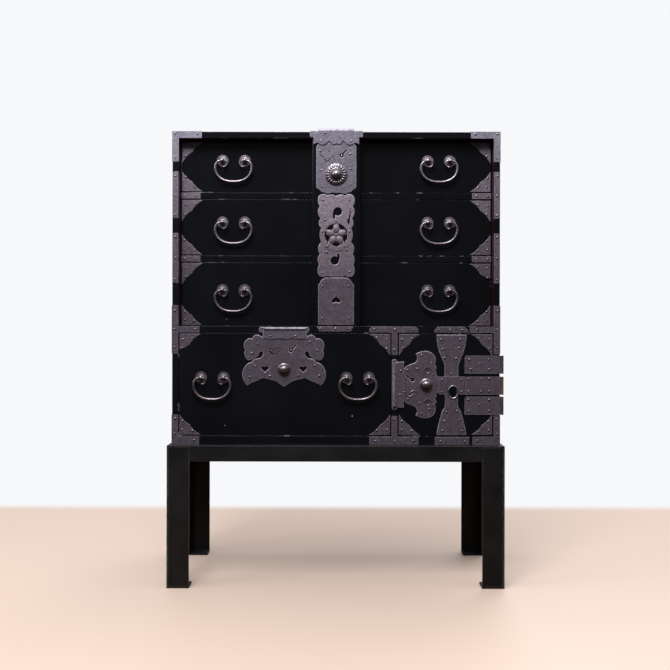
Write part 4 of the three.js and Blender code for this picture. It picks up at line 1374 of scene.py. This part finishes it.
def in_barrel(face):
    """Whether a face of a hinge half is part of its barrel."""
    middle = centre_of(face)
    return middle.x > (axis_x - BARREL) * MM and middle.y < (axis_y + BARREL) * MM


def finish_half(piece):
    """Rounds the edges of a hinge half, and gives its barrel a finish that is rusty and darkened as painted
    shade.
    """
    return two_finishes(file_rim(piece, HINGE_EDGE), plate_iron, rust_and_shade_iron, in_barrel, x=[axis_x - BARREL])


strap = block("strap_model", (hinge_low.x, hinge_high.y - HINGE_SHEET * MM, hinge_low.z),
              (axis_x * MM, hinge_high.y, hinge_high.z))
join_solids(strap, barrel("knuckles", BARREL, hinge_half))
reach = BARREL + PIN_GAP
room = block("room", ((axis_x - reach) * MM, (axis_y - reach) * MM, (hinge_z - KNUCKLE_HALF) * MM),
             ((axis_x + reach) * MM, (axis_y + reach) * MM, (hinge_z + KNUCKLE_HALF) * MM))
cut_out(strap, room, barrel("bore", PIN + PIN_GAP, hinge_half + 1))
corner = (hinge_low.x + CORNER_OFF * MM, 0, hinge_high.z)
corner_strap = saw_off(copy_piece(strap, "corner_strap_model"), corner, (-1, 0, 1))
for model in (strap, corner_strap):
    finish_half(model)

# %% [markdown]
# The leaf lies on the side of the chest, with its two far corners cut off. A tongue joins it to its
# knuckle, and the pin stands out of the knuckle both ways.

# %% Model the leaf on the side of the chest
LEAF_CORNER, TONGUE_BACK = 3, 0.4

leaf_low, leaf_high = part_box("side_hinge_middle_leaf")
leaf = block("leaf_model", (leaf_low.x, (axis_y + reach) * MM, leaf_low.z),
             (leaf_low.x + HINGE_SHEET * MM, leaf_high.y, leaf_high.z))
edit(leaf)
choose("EDGE", lambda e: runs_along(e, 0) and centre_of(e).y > leaf_high.y - 1 * MM)
bpy.ops.mesh.bevel(offset=LEAF_CORNER * MM, segments=1)
leave_edit_mode()
tongue_half = KNUCKLE_HALF - PIN_GAP
tongue = block("tongue", (leaf_low.x + TONGUE_BACK * MM, axis_y * MM, (hinge_z - tongue_half) * MM),
               (leaf_low.x + HINGE_SHEET * MM, (axis_y + reach + 1) * MM, (hinge_z + tongue_half) * MM))
join_solids(leaf, tongue, barrel("knuckle", BARREL, tongue_half), barrel("pin", PIN, hinge_half))
finish_half(leaf)
print("strap", len(strap.data.polygons), "faces, leaf", len(leaf.data.polygons), "faces")

# %% [markdown]
# Both halves are copied to three heights. The middle strap keeps its corner, because the band of the
# cross runs on into it, and the knuckles there have rusted red.

# %% Hang the door on three hinges
HINGE_NAILS = {
    "top": [(254.8, 433.5), (291.1, 434), (275.5, 425.9), (257.2, 415.4), (293, 414.9)],
    "middle": [(253.2, 396.7), (277.4, 396.7), (292.7, 396.7), (253.2, 373), (277.4, 372.5), (292.7, 373)],
    "bottom": [(253.2, 356.9), (292.7, 356.9), (273.7, 347.2), (292.7, 335.9), (253.2, 335)],
}
for name, nails in HINGE_NAILS.items():
    node = f"door_hinge_{name}_strap"
    rise = (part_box(node)[0].z - hinge_low.z) / MM
    made = copy_piece(strap if name == "middle" else corner_strap, f"{name}_hinge_strap", (0, 0, rise))
    other = copy_piece(leaf, f"{name}_hinge_leaf", (0, 0, rise))
    if name == "middle":
        made.data.materials[1] = other.data.materials[1] = red_iron
    dress(made, "door", plate_iron, node)
    nail_down(f"{name}_hinge_nails", "door", nails, hinge_high.y - HINGE_SHEET * MM)
    dress(other, "frame", plate_iron, f"side_hinge_{name}_leaf")
for model in (strap, corner_strap, leaf):
    bpy.data.objects.remove(model)

# %% [markdown]
# Thin iron covers every corner of every front. The piece in a corner of a drawer is a spandrel: two
# straight edges and a wavy one, with a small cusp between two hollows. It starts as a circle with a point
# for each corner of its outline, the points are moved there, and the face is extruded. The bare sheet is
# kept beside the finished spandrel, for those that are cut first.

# %% A helper for flat plates, and the spandrel
TRIM = 1.0


def cut_sheet(name, outline, face):
    """A flat plate cut to an outline of x, z points, in millimetres, that lies on the plane y, in metres."""
    leave_edit_mode()
    bpy.ops.mesh.primitive_circle_add(vertices=len(outline), radius=1 * MM, fill_type="NGON")
    made = bpy.context.object
    made.name = name
    for point, (x, z) in zip(made.data.vertices, outline):
        point.co = (x * MM, face, z * MM)
    edit(made)
    bpy.ops.mesh.select_all(action="SELECT")
    pull(y=-TRIM)
    return recalculate(made)


def hollow(start, end, sink, steps=5):
    """Points of a shallow arc from start to end, sunk to the left by so many millimetres."""
    start, end = Vector(start), Vector(end)
    run = end - start
    left = Vector((-run.y, run.x)).normalized()
    shares = [number / steps for number in range(steps)]
    return [tuple(start + run * share + left * sink * 4 * share * (1 - share)) for share in shares]


SPANDREL = 38.8
CUSP_LOW, CUSP_HIGH = (16.2, 20.2), (20.2, 16.2)
SINK, SWELL = 1.5, -0.9
outline = (
    [(0, 0)] + hollow((SPANDREL, 0), CUSP_HIGH, SINK) + hollow(CUSP_HIGH, CUSP_LOW, SWELL, 4)
    + hollow(CUSP_LOW, (0, SPANDREL), SINK) + [(0, SPANDREL)]
)
sheet = cut_sheet("spandrel_sheet", outline, 0)
spandrel = file_rim(copy_piece(sheet, "spandrel_model"))
SPANDREL_NAILS = [(6.2, 9.4), (24.5, 7.4), (6.4, 26.4)]

# %% [markdown]
# The spandrel is mirrored into the four corners of each drawer and of the door. The edges of the fronts
# stay bare by a millimetre or two, so that the iron never catches on the frame. Two of the twenty have lost
# their lower tips. They are sawn off a copy of the bare sheet, whose edges are rounded after that.

# %% Fix the spandrels
BARE_SIDE, BARE_END = 1.2, 1.8
WIDER, TALLER = 1.03, 1.06
ASTRAY = 1.2
LOST_TIPS = {("drawer_4", 1, -1): 28.1, ("drawer_3", -1, -1): 26.3}
FRONTS = {drawer: (f"{drawer}_front", face) for drawer, face in DRAWERS.items()}
FRONTS["door"] = ("door_panel", FRONT)

for body, (node, face) in FRONTS.items():
    low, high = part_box(node)
    corners, nails = [], []
    for x_side, x in ((1, low.x / MM + BARE_SIDE), (-1, high.x / MM - BARE_SIDE)):
        for z_side, z in ((1, low.z / MM + BARE_END), (-1, high.z / MM - BARE_END)):
            reach = LOST_TIPS.get((body, x_side, z_side))
            made = copy_piece(sheet if reach else spandrel, "corner")
            if reach:
                file_rim(saw_off(made, (0, 0, reach * MM), (0.3, 0, 1)))
            made.scale = (x_side * WIDER, 1, z_side * (TALLER if z_side < 0 else 1))
            made.location = (x * MM, face, z * MM)
            corners.append(recalculate(apply_place(made), merge=False))
            for along, up in SPANDREL_NAILS:
                shift_x, shift_z = hammer.uniform(-ASTRAY, ASTRAY), hammer.uniform(-ASTRAY, ASTRAY)
                nails.append((x + x_side * along + shift_x, z + z_side * up + shift_z))
    dress(shade(together(f"{body}_spandrels", *corners), 50), body, plate_iron)
    nail_down(f"{body}_spandrel_nails", body, nails, face - TRIM * MM)
for model in (sheet, spandrel):
    bpy.data.objects.remove(model)

# %% [markdown]
# The frame of the chest has its own irons: angles at the corners, strips on the sides, tees where the
# boards meet. The angles and the side tees are folded over the edge of the chest, which is what protects
# it. A folded iron is a flat plate with a second plate joined to it, or a second and a third.

# %% A helper for trim
WRAP = 22
SKIN = 0.9
TUCK = 0.5


def fit_trim(name, face, outline, nails, folds=(), mirrored=False, left_end=None, iron=plate_iron):
    """Trim on the frame, folded over the side or the top by further blocks. The left one of a mirrored
    pair may end sooner, at an x of its own."""
    made = join_solids(cut_sheet(name, outline, face), *[block("fold", *corners) for corners in folds])
    file_rim(made)
    if mirrored:
        other = copy_piece(made, f"left_{name}", mirror="x")
        if left_end:
            saw_off(other, (left_end * MM, 0, 0), (1, 0, 0))
        dress(shade(other, 50), "frame", iron)
        nail_down(f"left_{name}_nails", "frame", [(-x, z) for x, z in nails], face - TRIM * MM)
        made.name = f"right_{name}"
    dress(made, "frame", iron)
    nail_down(f"{made.name}_nails", "frame", nails, face - TRIM * MM)


def rectangle(left, right, bottom, top):
    """The outline of a plain plate."""
    return [(left, bottom), (right, bottom), (right, top), (left, top)]


def side_fold(bottom, top):
    """The part of a folded iron that lies on the side of the chest, between two heights."""
    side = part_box("right_side_panel")[1].x
    return ((side, FRONT - TUCK * MM, bottom * MM), (side + SKIN * MM, FRONT + WRAP * MM, top * MM))


# %% [markdown]
# The top angle is folded over the side and the top of the chest, and the foot angle over the side alone.
# Both are made for the right and mirrored to the left.

# %% Fit the angles at the top and the foot
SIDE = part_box("right_side_panel")[1].x / MM
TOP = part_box("top_panel")[1].z / MM
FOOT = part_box("bottom_panel")[0].z / MM
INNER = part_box("right_side_panel")[0].x / MM
OUT = SIDE + SKIN
OVER = TOP + SKIN
EDGE = INNER + 0.6
LIFT = FOOT + 0.3
TOP_ARM, TOP_LEG, ARM_HEIGHT = 257.2, 811.2, 12
FOOT_ARM, FOOT_TOP, FOOT_LEG = 261.3, 286, 327

top_angle = [(INNER, TOP_LEG), (OUT, TOP_LEG), (OUT, OVER), (TOP_ARM, OVER), (TOP_ARM, TOP - ARM_HEIGHT),
             (INNER, TOP - ARM_HEIGHT)]
top_fold = ((TOP_ARM * MM, FRONT - TUCK * MM, TOP * MM), (OUT * MM, FRONT + WRAP * MM, OVER * MM))
fit_trim("top_angle", FRONT, top_angle, [(307.7, 864.2), (265.7, 864.2), (307.4, 818)],
         [side_fold(TOP_LEG, OVER), top_fold], mirrored=True, iron=pale_iron)

foot_angle = [(FOOT_ARM, LIFT), (OUT, LIFT), (OUT, FOOT_LEG), (EDGE, FOOT_LEG), (EDGE, FOOT_TOP),
              (FOOT_ARM, FOOT_TOP)]
fit_trim("foot_angle", FRONT, foot_angle, [(270.9, 278.7), (308, 291.6), (306.9, 319.8)],
         [side_fold(LIFT, FOOT_LEG)], mirrored=True)

# %% [markdown]
# Beside the drawers, each side has two strips with clipped corners, and a tee where the lower shelf meets
# it. The arm of the left tee is a little shorter.

# %% Fit the strips and tees on the sides
CLIP_ACROSS, CLIP_UP = 3, 4
TEE_LOW, TEE_HIGH = 444, 536
ARM_LOW, ARM_HIGH, ARM_END, LEFT_ARM_END = 484.6, 496.2, 255.6, -260.8

for name, bottom, top, nails in (("upper_strip", 702.6, 791.8, (783.5, 746.3, 708.8)),
                                 ("middle_strip", 578.8, 674, (666.8, 626.8, 585.8))):
    strip = [(EDGE, bottom), (SIDE - CLIP_ACROSS, bottom), (SIDE, bottom + CLIP_UP), (SIDE, top - CLIP_UP),
             (SIDE - CLIP_ACROSS, top), (EDGE, top)]
    fit_trim(name, FRONT, strip, [(307.5, z) for z in nails], mirrored=True)

side_tee = [(EDGE, TEE_LOW), (OUT, TEE_LOW), (OUT, TEE_HIGH), (EDGE, TEE_HIGH), (EDGE, ARM_HIGH),
            (ARM_END, ARM_HIGH), (ARM_END, ARM_LOW), (EDGE, ARM_LOW)]
fit_trim("side_tee", FRONT, side_tee, [(269.3, 490.6), (308.8, 490.6), (308.5, 456), (308.2, 526)],
         [side_fold(TEE_LOW, TEE_HIGH)], mirrored=True, left_end=LEFT_ARM_END)

# %% [markdown]
# The shelves of the recess have a short plate at each end. The middle irons cover the joints round the
# divider, the strap of the door and the foot of the locking bar.

# %% Fit the plates on the shelves, the divider and the rails
SHELF_END_LEFT, SHELF_END_RIGHT, SHELF_BARE = 263, 299.6, 0.4

for shelf in ("upper_shelf", "middle_shelf"):
    low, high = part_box(shelf)
    z = middle_of(shelf).z
    bottom, top = low.z / MM + SHELF_BARE, high.z / MM - SHELF_BARE
    fit_trim(f"{shelf}_end", RECESS, rectangle(SHELF_END_LEFT, SHELF_END_RIGHT, bottom, top),
             [(271.5, z), (293.8, z)], mirrored=True)

MIDDLE_IRONS = {
    "divider_top_tee": (
        [(106.6, 441.9), (117.4, 441.9), (117.4, 484.8), (157.2, 484.8), (157.2, 491), (152.6, 495.9),
         (68.2, 495.9), (63.6, 491), (63.6, 484.8), (106.6, 484.8)],
        [(73.3, 490.8), (113, 490.8), (148.4, 489.6), (111.8, 452)]),
    "divider_foot_tee": (
        [(64.3, LIFT), (158, LIFT), (158, 285.6), (117.4, 285.6), (117.4, 325), (106.6, 325), (106.6, 285.6),
         (64.3, 285.6)],
        [(76, 277.3), (112.4, 277.7), (147.6, 277.9), (111.7, 319)]),
    "over_strap_plate": (
        [(187.9, 484.8), (252.4, 484.8), (252.4, 489), (246, 496), (194.3, 496), (187.9, 489)],
        [(196.3, 489.9), (218.2, 490.4), (241.4, 489.9)]),
    "under_strap_plate": (rectangle(189.5, 254.8, LIFT + 0.3, 285.4), [(200, 277), (246.7, 277)]),
    "bar_seat_plate": (
        [(-31.7, 486.6), (28, 486.6), (33.4, 496.1), (-36.7, 496.1)],
        [(-30, 491.8), (-0.5, 491.8), (25, 491.8)]),
}
for name, (outline, nails) in MIDDLE_IRONS.items():
    fit_trim(name, FRONT, outline, nails)

# %% [markdown]
# The three lock cases sit in their pockets and are right as they are, so they only change from plain
# paint to blackened iron. The model nail that was copied everywhere is thrown away, and the size of what
# was built is measured.

# %% Finish
for node in ("drawer_4_lock_case", "locking_bar_lock_case", "door_lock_case"):
    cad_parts[node].material_slots[0].material = dark_iron
bpy.data.objects.remove(nail)

low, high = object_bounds()
